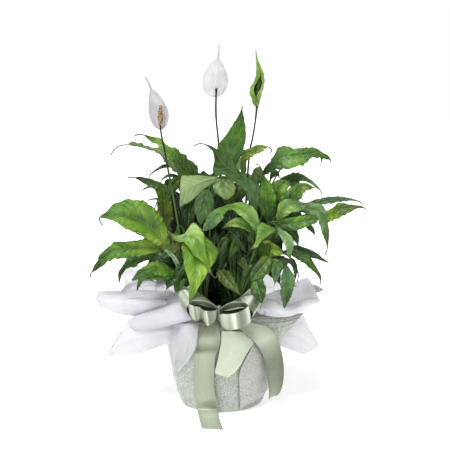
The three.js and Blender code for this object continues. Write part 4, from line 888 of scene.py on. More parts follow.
def add_leaf(piece, root, base, middle, tip, width, tilt, tone, cool, ruffle, seed, fine=1.0):
    draw = np.random.default_rng(seed)
    length = np.linalg.norm(middle - base) + np.linalg.norm(tip - middle)
    steps = int(np.clip(length / 1.9 * fine, 16, 70))
    point, tangent = blade_curve(base, middle, tip, steps)
    normal = carried_normals(tangent, steps // 2, facing_of(tilt))
    s = np.linspace(0, 1, steps + 1)
    point = hooked(point, tangent, normal, unit(np.cross(normal, tangent)), s, draw)
    tangent = unit(np.gradient(point, axis=0))
    normal = unit(normal - tangent * np.sum(normal * tangent, axis=1, keepdims=True))
    side = unit(np.cross(normal, tangent))
    twist = (draw.uniform(-0.6, 0.6) * (s - 0.45) + 0.15 * np.sin(5 * s + draw.uniform(0, 6)))[:, None]
    normal, side = (normal * np.cos(twist) + side * np.sin(twist),
                    side * np.cos(twist) - normal * np.sin(twist))
    body = np.minimum(1, s / (1 - draw.uniform(0.07, 0.16)))
    half = np.maximum(0.5, width / 2 * blade_shape(body, draw.uniform(0.34, 0.46)))[:, None]
    keel = KEEL * draw.uniform(0.6, 1.8)
    add_blade(piece, point, (normal * keel - side) * half, (normal * keel + side) * half, normal, width,
              np.full(steps + 1, tone), np.full(steps + 1, cool), ruffle, draw,
              BLADE_COLUMNS if fine >= 1 else INNER_COLUMNS)
    add_stalk(piece, root, point, tangent, normal, width, tone)


# Values given evenly along a leaf, for each of count steps.
def spread_over(values, count):
    return np.interp(np.linspace(0, 1, count), np.linspace(0, 1, len(values)), values)


# The distance walked along a line of points.
def run_along(points):
    return np.concatenate([[0], np.cumsum(np.linalg.norm(np.diff(points, axis=0), axis=1))])


def add_drawn_leaf(piece, crown, depth, tilt, face, tone, cool, ruffle, rows, seed):
    draw = np.random.default_rng(seed)
    full = np.array([row if len(row) == 6 else row * 3 for row in rows], float).reshape(-1, 3, 2)
    run = run_along(full[:, 1])
    y = np.interp(run / run[-1], (0, 0.5, 1), depth)
    lean, fold = math.tan(math.radians(tilt)), (-KEEL if face > 0 else 0.05)
    off = full - full[:, 1:2]
    deep = y[:, None] + off[..., 1] * lean + fold * np.linalg.norm(off, axis=2)
    control = seen(np.stack([full[..., 0], deep, full[..., 1]], -1))
    # The outline is drawn finely, then walked in even steps along the midrib.
    fine = 400
    dense = catmull(control.reshape(len(rows), 9), np.linspace(0, 1, fine)).reshape(fine, 3, 3)
    walked = run_along(dense[:, 1])
    count = int(np.clip(walked[-1] / 1.7, 24, 90)) + 1
    at = np.interp(np.linspace(0, walked[-1], count), walked, np.arange(fine))
    k = np.minimum(at.astype(int), fine - 2)
    edge, point, other = np.moveaxis(mix(dense[k], dense[k + 1], (at - k)[:, None, None]), 1, 0)
    tangent = unit(np.gradient(point, axis=0))
    across = other - edge
    # Where the blade is too narrow to say which way it faces, it faces as its neighbour does.
    clear = np.linalg.norm(across, axis=1) > 2.0
    normal = np.cross(tangent, across)
    normal = unit(normal * np.sign(np.sum(normal[clear] * (0, -1, 0))) * face)
    for n in range(1, count):
        if not clear[n]:
            normal[n] = squared(normal[n - 1], tangent[n])
    for n in range(count // 2 - 1, -1, -1):
        if not clear[n]:
            normal[n] = squared(normal[n + 1], tangent[n])
    left, right = edge - point, other - point
    if np.sum(np.cross(normal, tangent) * left) > 0:
        left, right = right, left
    thin = np.cross(normal, tangent) * (HAIR_HALF_WIDTH * mix(1.2, 0.7, np.linspace(0, 1, count)))[:, None]
    width = np.linalg.norm(across, axis=1).max()
    add_blade(piece, point, left - thin, right + thin, normal, width, spread_over(tone, count),
              spread_over(cool, count), ruffle, draw)
    add_stalk(piece, crown_root(crown, point[0]), point, tangent, normal, width, tone[0])


# A leaf that leans out at an azimuth: base, middle, tip, width and tilt.
def back_leaf(azimuth, reach, base_radius, base_z, middle_z, tip_z, width):
    out = np.array([cosine(azimuth), sine(azimuth), 0])
    line = (base_radius, base_z), (mix(base_radius, reach, 0.55), middle_z), (reach, tip_z)
    return [out * radius + (0, 0, z) for radius, z in line] + [width, BACK_TILT]


# Where a leaf leaves its crown, on the side of the blade's base.
def crown_root(crown, base):
    centre = np.array([*CROWNS[crown], ROOT_Z])
    away = unit(np.array([base[0] - centre[0], base[1] - centre[1], 0.0]))
    return centre + away * CROWN_RADIUS * 0.35


# Small leaves inside the clump, round the crown's own axis, whose low tones paint the deep shade in it.
def inner_leaves(crown, draw):
    drawn = []
    for _ in range(INNER_LEAVES):
        azimuth, height = draw.uniform(0, FULL_TURN), draw.uniform(*INNER_HEIGHTS)
        out = np.array([math.cos(azimuth), math.sin(azimuth), 0])
        start = np.array([*CROWNS[crown], 0]) * 0.75 + out * draw.uniform(4, 16) + (0, 0, height)
        reach = INNER_SPREAD * draw.uniform(0.4, 1.0) * (1 if out[1] > -0.2 else 0.35)
        rise, drop = draw.uniform(8, 34), draw.uniform(-34, 26)
        width, tilt, tone, cool = (draw.uniform(*ends) for ends in INNER_RANGES)
        drawn.append((start, start + out * reach * 0.55 + (0, 0, rise), start + out * reach + (0, 0, drop),
                      width, tilt, tone, cool, 1))
    return drawn


def add_crown(piece, centre):
    share = np.linspace(0, 1, 8)
    radii = mix(CROWN_RADIUS, CROWN_RADIUS * 0.7, share) * (1 + 0.12 * np.sin(math.pi * share)) * 0.86
    path = [(*centre, height) for height in mix(CROWN_BOTTOM_Z, CROWN_TOP_Z, share)]
    add_tube(piece, path, radii, sides=16, stalk=1.0, tone=0.4, **OFF_BLADE)


def make_shoots():
    for n, (crown, centre) in enumerate(CROWNS.items()):
        piece = Piece()
        add_crown(piece, centre)
        seed = 100 * (n + 1)
        for owner, *leaf in DRAWN:
            if owner == crown:
                seed += 1
                add_drawn_leaf(piece, crown, *leaf, seed)
        whole = [(*(seen(p) for p in leaf[:3]), *leaf[3:]) for leaf in LEAVES[crown]]
        for leaves, tiers in ((BACK_LEAVES, BACK_TIERS), (FILL_LEAVES, FILL_TIERS)):
            for azimuth, tier in leaves.get(crown, ()):
                tone, ruffle = 0.42 + 0.26 * math.sin(azimuth * 1.7 + tier), 1 + (azimuth % 3 == 0)
                whole.append((*back_leaf(azimuth, *tiers[tier]), tone, 0.5 * math.sin(azimuth), ruffle))
        for leaves, fine in ((whole, 1.0), (inner_leaves(crown, np.random.default_rng(seed)), 0.5)):
            for leaf in leaves:
                seed += 1
                add_leaf(piece, crown_root(crown, leaf[0]), *leaf, seed, fine)
        piece.make(f"leaves_{crown}", "leaf", f"shoot_{crown}")


make_shoots()


# ---------------------------------------------------------------- flowers
STEM_RADIUS, STEM_TIP_RADIUS, STEM_FOOT_Z = 2.0, 1.5, 118.0
SOIL_TOP_Z = 146.0
SPADIX_RADIUS = 4.9
SPATHE_THICKNESS = 0.7
FLORETS, GOLDEN_ANGLE = 120, 2.39996
FLORET_HALF_SIZE = 1.05, 1.05, 1.9
# Shares of a spadix's length, and its radius at each as a share of the full one.
SPADIX_OUTLINE = (0, 0.1, 0.45, 0.78, 0.95, 1), (0.32, 0.62, 1.0, 0.82, 0.5, 0.2)
# Each flower: its stem from the tip down, its root in the soil, the line of its spathe and the ends of
# its spadix. The hood is the spathe's width, its tilt in degrees, how far it is cupped in radians, and
# the share of its length where the long point begins. The shade is how much painted shade, in dark
# green, lies over it.
FLOWERS = {
    "left": dict(
        stem=[(-107, -48, 508), (-107, -46.5, 498), (-101, -46, 466), (-95, -46, 430), (-88, -46, 394),
              (-77, -44, 327), (-66, -36, 250)],
        root=(-50, -24), spathe=[(-108, -42, 499), (-113, -38, 541), (-133, -40, 592)],
        hood=(36, 8, 0.9, 0.8), shade=0.13, spadix=[(-107, -48, 507), (-107, -50, 541)]),
    "centre": dict(
        stem=[(-8, 12, 572), (-9, 12, 537), (-8, 12, 513), (-5, 12, 483), (-2, 12, 440), (-4, 12, 330),
              (-8, 14, 230)],
        root=(-12, 18), spathe=[(-13, 16, 557), (-8, 20, 601), (-2, 24, 648)],
        hood=(45, 176, 0.7, 0.74), shade=0.02, spadix=[(-9, 26, 575), (-7, 28, 612)]),
    "right": dict(
        stem=[(64, 9, 541), (60, 6, 507), (56, 6, 483), (52, 6, 465), (49, 6, 436), (44, 6, 360),
              (34, 8, 250)],
        root=(22, 10), spadix=[(64, 8, 546), (68, 8, 588)]),
}
# The bud's outline: height, left and right edge as seen, and the turns where its two free edges stand,
# counted from the front round the left, the back and the right.
BUD_Y = 10.0
BUD_ROWS = [
    (539, 62, 65.5, 10, 350), (545, 57, 67.5, 0, 358), (555, 54, 70, 2, 354), (566, 50.5, 73, 16, 336),
    (574, 53, 75, 30, 324), (583, 58, 76.3, 28, 326), (590, 61, 76.3, 6, 342), (597, 62.2, 75.2, -6, 350),
    (606, 62.4, 71.6, -10, 352), (616, 62.2, 67.4, -10, 350), (623, 61.8, 64.4, -10, 350),
    (631, 61.3, 62.9, -10, 350), (639, 60.7, 61.8, -10, 350),
]


# Share of a spathe's full width: round below, then a long point that ends in a hair.
def spathe_shape(s, end):
    body = np.minimum(1, s / end)
    return 1.02 * np.sin(math.pi * body**0.84) ** 0.64 * (1 - 0.06 * body) + 0.1 * (1 - s)


def spathe_grid(base, middle, tip, width, tilt, cup, end, seed):
    steps, columns = 48, 25
    draw = np.random.default_rng(seed)
    point, tangent = blade_curve(base, middle, tip, steps)
    normal = carried_normals(tangent, steps // 2, facing_of(tilt))
    side = unit(np.cross(normal, tangent))
    s = np.linspace(0, 1, steps + 1)[:, None]
    a = np.linspace(-1, 1, columns)[None]
    half = np.maximum(mix(2.6, 1.1, smooth(end - 0.1, 1, s)), width / 2 * spathe_shape(s, end))
    out, up = np.sin(a * cup) / cup, (1 - np.cos(a * cup)) / cup
    wave = 0.035 * half * np.abs(a) ** 3 * np.sin(FULL_TURN * 3.1 * s + draw.uniform(0, 6) + a)
    ridge = 0.16 * np.cos(FULL_TURN * 7.5 * a) * (1 - np.abs(a))
    rib = -0.5 * bell(a * half, 0, 1.2) * (1 - s)
    lift = half * up + wave + ridge + rib
    return point[:, None] + side[:, None] * (half * out)[..., None] + normal[:, None] * lift[..., None]


# The bud is a sheet rolled to a tube that stands open at the front.
def bud_grid():
    rows = catmull(BUD_ROWS, np.linspace(0, 1, 70))
    z, left, right, start, end = np.moveaxis(rows, -1, 0)[..., None]
    a = np.linspace(0, 1, 46)[None]
    angle = np.radians(mix(start, end, a))
    edge = bell(np.minimum(a, 1 - a), 0, 0.09)
    half = (right - left) / 2 * (1 + 0.06 * np.sin(9 * z / 20 + 3 * a))
    half = half + 1.2 * edge * np.sin(z / 5.5 + 4 * a)
    x = (left + right) / 2 - half * np.sin(angle)
    y = BUD_Y - 0.8 * half * np.cos(angle)
    return seen(np.stack(np.broadcast_arrays(x, y, z), -1))


# Rings of a ball of radius 1 at the given latitudes.
def ball_rings(latitudes, sides):
    b, c = np.array(latitudes)[:, None], np.linspace(0, FULL_TURN, sides, endpoint=False)
    return np.stack(np.broadcast_arrays(np.cos(b) * np.cos(c), np.cos(b) * np.sin(c), np.sin(b)), -1)


# A rod covered with florets, set in a golden-angle spiral.
def add_spadix(piece, low, high, radius):
    axis = high - low
    tangent = unit(axis)
    side = unit(np.cross(tangent, (0, 1, 0)))
    front = np.cross(tangent, side)
    core = lambda share: 0.72 * radius * np.interp(share, *SPADIX_OUTLINE)
    t = np.linspace(0, 1, 22)
    add_tube(piece, low + axis * t[:, None], core(t), sides=16, knob=0.0)
    floret = ball_rings((-0.5, 0.1, 0.75, 1.25), 6) * FLORET_HALF_SIZE
    knob = np.repeat([0.0, 0.3, 0.8, 1.0], 6)
    for k in range(FLORETS):
        share, angle = (k + 0.5) / FLORETS, k * GOLDEN_ANGLE
        out = side * math.cos(angle) + front * math.sin(angle)
        rings = floret @ np.array([tangent, np.cross(tangent, out), out])
        add_loft(piece, low + axis * share + out * core(share) + rings, knob=knob)


def make_flowers():
    shares = np.linspace(0, 1, 90)
    swell = 1 + 0.5 * smooth(0.96, 1, shares) + 0.35 * smooth(0.12, 0, shares)
    for n, (name, flower) in enumerate(FLOWERS.items()):
        x, y = flower["root"]
        path = np.array([(x, y, STEM_FOOT_Z), (x, y, SOIL_TOP_Z + 6), *seen(flower["stem"])[::-1]])
        stem = Piece()
        add_tube(stem, catmull(path, shares), mix(STEM_RADIUS, STEM_TIP_RADIUS, shares) * swell, sides=14,
                 along=shares)
        stem.make(f"peduncle_{name}", "peduncle", f"flower_{name}_stem")
        # Painted shade in dark green: deep inside the bud's hollow, and on each open spathe as much as its
        # shade says.
        if name == "right":
            kind = "bud_"
            grid = bud_grid()
            hollow = np.clip(1.1 * np.cos(FULL_TURN * (shares_of(grid)[1] - 0.5)) + 0.9, 0, 1)
            dark = np.stack([0 * hollow, 0.85 * hollow])
        else:
            kind = ""
            grid = spathe_grid(*seen(flower["spathe"]), *flower["hood"], 40 + n)
            dark = flower["shade"]
        make_sheet(f"spathe_{name}", kind + "spathe", f"flower_{name}_spathe", grid, SPATHE_THICKNESS,
                   dark=dark)
        spike = Piece()
        add_spadix(spike, *seen(flower["spadix"]), SPADIX_RADIUS)
        spike.make(f"spadix_{name}", kind + "spadix", f"flower_{name}_spadix")


make_flowers()

# ---------------------------------------------------------------- pot and soil
POT_HEIGHT, POT_BASE_Z, POT_FLOOR = 158.0, 2.0, 4.0
POT_TOP_RADIUS, POT_BASE_RADIUS, POT_WALL, POT_RIM = 85.0, 64.0, 1.6, 2.2
CRUMBS = 420
CRUMB_LATITUDES = -1.2, -0.4, 0.4, 1.2
# Lumps of the soil's top: height, waves by the millimetre, and phases along x and y.
LUMPS = (1.4, 0.09, 1, 2), (0.9, 0.23, 0, 4), (0.5, 0.55, 3, 1)


# Level rings of points round the axis.
def rings_at(radii, heights, columns):
    azimuth = np.linspace(0, 360, columns, endpoint=False)
    return turn(azimuth, np.asarray(radii)[:, None], np.asarray(heights)[:, None])


def pot_radius(z):
    return mix(POT_BASE_RADIUS, POT_TOP_RADIUS, (z - POT_BASE_Z) / POT_HEIGHT)


def make_pot():
    top, lip = POT_BASE_Z + POT_HEIGHT, POT_TOP_RADIUS + POT_RIM
    wall = np.linspace(POT_BASE_Z + 3, top - 13, 26)
    inside = np.linspace(top - 3, POT_BASE_Z + 6, 22)
    base = POT_BASE_RADIUS
    profile = [(1, POT_BASE_Z), (base - 3, POT_BASE_Z), (base - 0.8, POT_BASE_Z + 0.8)]
    profile += [(pot_radius(z) + 0.25 * math.cos((z - 60) / 6), z) for z in wall]
    profile += [(lip - 0.4, top - 11.6), (lip, top - 10.8), (lip, top - 1.2), (lip - 0.5, top - 0.3)]
    profile += [(lip - 1.6, top), (POT_TOP_RADIUS - POT_WALL, top - 0.4)]
    profile += [(pot_radius(z) - POT_WALL, z) for z in inside] + [(1, POT_BASE_Z + POT_FLOOR)]
    piece = Piece()
    add_loft(piece, rings_at(*np.array(profile).T, 96))
    piece.make("nursery_pot", "pot", "pot")


# The soil fills the pot up to an uneven top, with crumbs and bark chips lying on it.
def make_soil():
    draw = np.random.default_rng(21)
    columns = 120
    bottom = POT_BASE_Z + POT_FLOOR + 0.5
    share = np.linspace(0.012, 1, 34)
    reach = pot_radius(SOIL_TOP_Z) - POT_WALL - 0.8
    top = rings_at(reach * share, 0 * share, columns)
    x, y = top[..., 0], top[..., 1]
    lumps = sum(high * np.sin(x * rate + p) * np.sin(y * rate * 1.13 + q) for high, rate, p, q in LUMPS)
    rough = draw.normal(0, 0.45, x.shape)
    top[..., 2] = SOIL_TOP_Z - 0.5 + lumps + rough - 3 * smooth(0.9, 1, share)[:, None]
    side_z = np.array([bottom, bottom + 40, bottom + 80, SOIL_TOP_Z - 12])
    wall = rings_at(pot_radius(side_z) - POT_WALL - 0.6, side_z, columns)
    piece = Piece()
    add_loft(piece, np.concatenate([rings_at([1.0], [bottom], columns), wall, top[::-1]]))
    for _ in range(CRUMBS):
        away, azimuth = reach * math.sqrt(draw.uniform(0, 0.93)), draw.uniform(0, FULL_TURN)
        centre = away * math.cos(azimuth), away * math.sin(azimuth), SOIL_TOP_Z + 0.6
        size = draw.uniform(0.8, 2.4) * np.array([1, draw.uniform(0.5, 1), draw.uniform(0.4, 0.8)])
        spin = draw.uniform(0, math.pi)
        ball = ball_rings(CRUMB_LATITUDES, 7)
        ball = ball * size * draw.uniform(0.8, 1.2, ball.shape[:2])[..., None]
        across = (math.cos(spin), -math.sin(spin), 0), (math.sin(spin), math.cos(spin), 0), (0, 0, 1)
        add_loft(piece, ball @ np.array(across) + centre)
    piece.make("potting_soil", "soil", "soil")


make_pot()
make_soil()

# ---------------------------------------------------------------- outer wrap
NECK_RADIUS = 78.0
WRAP_THICKNESS = 0.8
# Height, radius and depth of the pleats, from the foot to the neck.
WRAP_PROFILE = [
    (0, 74, 0.8), (10, 79, 1), (30, 86, 1.3), (55, 91.5, 1.6), (80, 95, 1.8), (110, 96.5, 1.8),
    (140, 95.5, 1.6), (156, 92.5, 1.2), (171, 82, 0.8), (180, NECK_RADIUS, 0.3), (208, NECK_RADIUS, 0.3),
]
# Number of pleats round, their phase in degrees, and their share of the depth.
PLEATS = ((5, 20, 0.6), (8, 75, 0.4), (13, 130, 0.3))
BOW_AZIMUTH, BOW_DIP = 271, 21
CORNER_AZIMUTH = -50


def wrap_radius(azimuth, z):
    radius, depth = np.moveaxis(table_at(WRAP_PROFILE, z), -1, 0)
    return radius + depth * sum(share * cosine(count * azimuth + phase) for count, phase, share in PLEATS)


# Folds of the cloth: gathers that fan down from the neck, creases that run round the base, flat sides
# low on the wrap, and the pressed-in corner.
def wrap_folds(azimuth, z):
    up, low = smooth(60, 175, z), 1 - smooth(15, 85, z)
    gathers = 0.9 * cosine(azimuth * 24 + 30 * sine(azimuth * 3) + z * 0.25) * up**1.5
    gathers = gathers + 0.6 * cosine(azimuth * 37 + 50 - z * 0.4) * up**2
    creases = 0.8 * cosine(azimuth * 9 + z * 2.4) * low + 0.5 * cosine(azimuth * 17 - z * 3.1) * low
    facet = (azimuth + 12) % 45 / 22.5 - 1
    low_sides = -3.2 * (1 - facet**2) * (1 - smooth(5, 120, z))
    slant = 0.45 * sine(azimuth * 6 + z * 3.6) * smooth(20, 60, z) * (1 - smooth(110, 150, z))
    from_corner = (azimuth - CORNER_AZIMUTH + 180) % 360 - 180
    corner = -5 * bell(from_corner, 0, 17) * (1 - smooth(5, 70, z))
    return gathers + creases + slant + low_sides + corner


def make_wrap():
    z = np.concatenate([np.linspace(1.2, 20, 9), np.linspace(24, 150, 34), np.linspace(153, 207.5, 20)])
    azimuth = np.linspace(0, 360, 264, endpoint=False)
    a, height = np.meshgrid(azimuth, z)
    radius = wrap_radius(a, height) + wrap_folds(a, height) * smooth(0, 12, height) - 0.6
    # The neck dips behind the bow.
    dip = BOW_DIP * smooth(34, 18, np.abs(a - BOW_AZIMUTH)) * smooth(180, 207, height)
    floor_z = 0.7 + 0.25 * np.abs(sine(azimuth * 11))
    foot = wrap_radius(azimuth, 0.0)
    under = [turn(azimuth, foot * share - 1.5, floor_z) for share in (0.03, 0.4, 0.75, 0.97)]
    make_sheet("wrap_cloth", "glitter_wrap", "wrap_outer",
               np.concatenate([under, turn(a, radius, height - dip)]), WRAP_THICKNESS, closed=True, hem=0.3)


make_wrap()

# ---------------------------------------------------------------- sheets
CLOTH = 0.7
HEM = 0.3


# The point of a sheet laid over the wrap, off it by the given distance, seen at (x, z).
def draped(x, off, z):
    x, off, z = np.broadcast_arrays(*(np.asarray(v, float) for v in (x, off, z)))
    y = np.full(x.shape, -POT_TOP_RADIUS)
    for _ in range(14):
        point = seen(np.stack([x, y, z], -1))
        azimuth = np.degrees(np.arctan2(point[..., 1], point[..., 0]))
        height = np.maximum(0, point[..., 2])
        radius = wrap_radius(azimuth, height) + 0.5 * wrap_folds(azimuth, height) + off
        y = -np.sqrt(np.maximum(1, radius**2 - point[..., 0] ** 2))
    point = seen(np.stack([x, y, z], -1))
    point[..., 2] = np.maximum(point[..., 2], 1.0)
    return point


# A grid of points straight across from each point of one edge to its fellow on the other edge.
def straight_across(left, right, columns):
    left, right = np.asarray(left, float), np.asarray(right, float)
    return mix(left[:, None], right[:, None], np.linspace(0, 1, columns)[:, None])


def between(left, right, rows, columns):
    shares = np.linspace(0, 1, rows)
    return straight_across(catmull(left, shares), catmull(right, shares), columns)


# The grids of sheets over the wrap hold (x, z) as seen, and run between two edges from the top down.
def make_draped(name, slot, node, grid, off, **numbers):
    make_sheet(name, slot, node, draped(grid[..., 0], off, grid[..., 1]), CLOTH, **numbers)


def make_panel():
    grid = between([(60, 110), (48, 85), (36, 60), (33, 40), (34, 15), (35, -5), (35, -19)],
                   [(66, 108), (76, 88), (81, 62), (82, 40), (81, 25), (79, 14), (72, 3)], 56, 30)
    down, across = shares_of(grid)
    fold = 1.5 * bell(across, 0.07, 0.06) + 0.7 * bell(across, 0.3 + 0.1 * down, 0.05)
    fold = fold + 0.5 * np.sin(7 * across + 4 * down) * np.sin(3 * down)
    make_draped("panel_cloth", "panel_wrap", "wrap_front_panel", grid, 1.9 + fold)


def make_flap():
    grid = between([(1, 130), (0, 118), (-2, 98), (-5, 80), (-9, 64), (-12, 51), (-3, 47), (8, 43)],
                   [(46, 130), (61, 112), (53, 97), (43, 79), (34, 62), (25, 51), (18, 46), (11, 41)],
                   54, 30)
    down, across = shares_of(grid)
    curl = 3.2 * smooth(0.55, 1, down) + (1.8 * smooth(0.75, 1, across) + smooth(0.2, 0, across)) * down
    soft = 0.9 * np.sin(2.2 + 5 * across - 3 * down) * smooth(0, 0.3, down)
    make_draped("lining_corner", "lining", "lining_flap", grid, 4.4 + curl + soft, hem=HEM)


# The sheer's fall at the front left, with folds that fan down from the neck.
def make_drape():
    grid = between([(-95, 146), (-99, 125), (-99, 100), (-96, 78), (-90, 55)],
                   [(-40, 144), (-43, 125), (-45, 104), (-54, 82), (-78, 52)], 54, 60)
    down, across = shares_of(grid)
    folds = 1.6 * np.abs(np.sin(math.pi * (2.6 * across - 0.5 * down + 0.15))) ** 1.5
    folds = folds + 1.1 * np.sin(19 * across + 4 * down) * (0.3 + down) + 0.8 * bell(across, 0.93, 0.05)
    # The drape is darkened a little by painted shade.
    make_draped("sheer_drape", "sheer_wrap", "sheer_drape_left", grid, 2.2 + folds,
                clear=0.45 + 0.75 * down, grey=0.24)


# Parts of the sheets that stand out from the neck: rows of control points from the neck outward, as
# seen takes them; then the folds' height, their number across and their slant, how clear the cloth is
# and how much painted shade darkens it, the slot, and the node it stands for.
SPREADS = {
    "sheer_lobe_left": ([
        [(-62, 6, 198), (-64, -28, 192), (-66, -46, 180), (-66, -50, 168), (-64, -44, 158)],
        [(-100, 18, 204), (-100, -20, 199), (-102, -44, 189), (-104, -48, 178), (-105, -34, 170)],
        [(-145, 22, 207), (-142, -12, 201), (-142, -36, 187), (-142, -40, 171), (-140, -26, 160)],
        [(-185, 18, 205), (-186, -8, 200), (-186, -24, 187), (-184, -26, 172), (-180, -14, 161)],
        [(-212, 8, 206), (-217, -6, 200), (-219, -12, 190), (-216, -12, 179), (-208, -4, 170)],
        [(-221, 2, 204), (-226, -5, 198), (-227, -7, 190), (-224, -6, 181), (-215, -1, 173)],
        [(-218, 9, 201), (-222, 4, 196), (-223, 3, 190), (-220, 4, 182), (-212, 7, 176)],
    ], (0.9, 2.0, 0.4), 0.15, 0.32, "sheer_wrap", "sheer_collar"),
    "sheer_roll_left": ([
        [(-56, -48, 190), (-54, -66, 182), (-54, -74, 168),
         (-54, -72, 154), (-55, -58, 150), (-57, -50, 153)],
        [(-80, -46, 186), (-82, -66, 179), (-82, -76, 164),
         (-80, -72, 149), (-80, -58, 144), (-82, -50, 148)],
        [(-108, -38, 176), (-112, -58, 170), (-112, -66, 156),
         (-110, -62, 142), (-110, -50, 137), (-110, -42, 142)],
        [(-136, -30, 166), (-142, -46, 161), (-143, -52, 150),
         (-140, -48, 136), (-139, -38, 131), (-138, -32, 137)],
        [(-155, -22, 159), (-160, -32, 156), (-162, -36, 147),
         (-160, -34, 136), (-154, -28, 130), (-150, -24, 135)],
        [(-161, -14, 156), (-165, -20, 153), (-167, -22, 145),
         (-164, -22, 136), (-158, -18, 131), (-153, -16, 136)],
        [(-156, -4, 152), (-160, -8, 149), (-162, -8, 144),
         (-160, -8, 139), (-156, -6, 135), (-152, -4, 138)],
    ], (0.9, 2.0, 0.4), 0.08, 0.3, "sheer_wrap", "sheer_collar"),
    "sheer_dome_left": ([
        [(-183, 34, 196), (-185, 18, 198), (-184, -2, 195), (-178, -18, 188)],
        [(-178, 50, 203), (-176, 26, 212), (-170, -6, 208), (-166, -28, 192)],
        [(-160, 62, 213), (-156, 32, 225), (-150, -8, 218), (-148, -38, 194)],
        [(-135, 68, 214), (-136, 32, 228), (-130, -10, 219), (-130, -44, 192)],
        [(-110, 66, 208), (-112, 26, 217), (-110, -16, 210), (-112, -50, 188)],
        [(-86, 58, 200), (-86, 16, 201), (-86, -24, 196), (-90, -54, 180)],
        [(-66, 46, 190), (-66, 4, 182), (-64, -32, 176), (-66, -56, 168)],
    ], (1.2, 5.0, 2.0), 1.35, 0.35, "sheer_wrap", "sheer_collar"),
    "sheer_corner_left": ([
        [(-60, -52, 152), (-62, -54, 136), (-64, -54, 122), (-66, -54, 108)],
        [(-100, -30, 160), (-104, -44, 140), (-106, -46, 122), (-106, -40, 103)],
        [(-140, -20, 160), (-144, -34, 138), (-146, -36, 115), (-142, -28, 90)],
        [(-170, -12, 150), (-178, -20, 130), (-180, -22, 108), (-172, -14, 85)],
        [(-184, -8, 124), (-193, -12, 110), (-199, -12, 96), (-196, -8, 82)],
        [(-196, -6, 106), (-203, -8, 96), (-207, -6, 88), (-208, -4, 82)],
    ], (1.2, 2.6, -0.6), 0.55, 0.45, "sheer_wrap", "sheer_corner_left"),
    "sheer_front_right": ([
        [(62, -56, 190), (60, -64, 181), (62, -68, 171), (70, -64, 162)],
        [(92, -42, 189), (91, -58, 178), (93, -62, 166), (97, -54, 157)],
        [(114, -32, 180), (115, -50, 172), (117, -54, 164), (120, -44, 157)],
        [(134, -20, 184), (134, -38, 175), (135, -42, 168), (137, -32, 162)],
        [(153, -10, 191), (153, -24, 184), (153, -28, 177), (153, -18, 171)],
        [(168, -4, 192), (168, -12, 188), (167, -14, 184), (165, -8, 180)],
        [(179, 2, 190), (180, -2, 187), (179, -3, 184), (177, 0, 182)],
    ], (0.7, 1.5, 0.5), 0.12, 0.1, "sheer_wrap", "sheer_collar"),
    "sheer_side_right": ([
        [(100, -32, 168), (128, -22, 172), (155, -6, 180), (177, 2, 182)],
        [(117, -22, 180), (136, -8, 190), (158, 6, 194), (177, 10, 192)],
        [(124, -6, 198), (142, 10, 206), (158, 18, 208), (173, 18, 203)],
        [(130, 8, 212), (144, 22, 220), (157, 28, 222), (168, 26, 214)],
        [(133, 14, 221), (143, 26, 226), (152, 32, 229), (160, 32, 229)],
    ], (0.45, 5.0, 0.3), 0.3, 0.28, "sheer_wrap", "sheer_collar"),
    "sheer_inner_right": ([
        [(74, -44, 180), (76, -30, 190), (80, -10, 198)],
        [(90, -46, 180), (92, -26, 192), (96, -4, 204)],
        [(106, -42, 176), (108, -22, 190), (110, 2, 208)],
        [(120, -32, 172), (121, -16, 184), (121, 2, 198)],
    ], (0.8, 2.0, 1.0), 0.6, 0.4, "sheer_wrap", "sheer_collar"),
    "sheer_corner_right": ([
        [(84, -38, 150), (86, -40, 135), (88, -42, 122), (90, -44, 108)],
        [(110, -30, 158), (112, -34, 140), (112, -36, 122), (110, -36, 101)],
        [(148, -18, 159), (146, -24, 138), (142, -26, 116), (136, -22, 91)],
        [(158, -12, 143), (162, -16, 128), (160, -16, 110), (152, -12, 86.5)],
        [(168, -8, 124), (172, -10, 114), (171, -10, 103), (162, -8, 90)],
        [(177, -5, 108), (179, -6, 104), (177, -6, 100), (171, -4, 95)],
    ], (0.9, 2.4, -0.5), 0.55, 0.45, "sheer_wrap", "sheer_corner_right"),
    "wrap_corner_right": ([
        [(44, -88, 152), (46, -90, 142), (46, -92, 130), (50, -92, 118)],
        [(74, -61, 157), (76, -66, 146), (76, -69, 130), (76, -71, 110)],
        [(100, -45, 157), (100, -50, 146), (100, -54, 130), (97, -56, 108)],
        [(128, -34, 161), (124, -42, 150), (118, -46, 137), (110, -46, 118)],
        [(152, -22, 165), (144, -30, 156), (136, -34, 147), (128, -34, 135)],
    ], (0.8, 4.2, 0.1), 0.0, 0, "glitter_wrap", "wrap_corner_right"),
    "wrap_tip_right": ([
        [(150, 40, 200), (151, 38, 208), (152, 36, 216)],
        [(166, 36, 201), (168, 34, 209), (168, 32, 217)],
        [(178, 32, 203), (179, 30, 208), (178, 30, 213)],
        [(186, 30, 207), (186, 30, 208), (186, 30, 209)],
    ], (0.3, 2.0, 0.5), 0.0, 0, "glitter_wrap", "wrap_corner_right"),
}


def make_spreads():
    for name, (rows, (height, count, slant), clear, grey, slot, node) in SPREADS.items():
        grid = seen(surface(rows, 48, 44))
        out, down = shares_of(grid)
        phase = FULL_TURN * (count * down + slant * out)
        wave = np.sin(phase) + 0.5 * np.sin(1.9 * phase - 5 * out + 1)
        gathers = 0.35 * np.sin(60 * down + 6 * out) * (1 - out) ** 2
        lift = height * wave * np.sin(math.pi * mix(0.1, 0.9, down)) + gathers
        make_sheet(f"{name}_cloth", slot, node, grid + normals_of(grid) * lift[..., None], CLOTH, hem=HEM,
                   clear=clear * mix(0.5, 1.0, smooth(0, 0.5, out)), grey=grey)


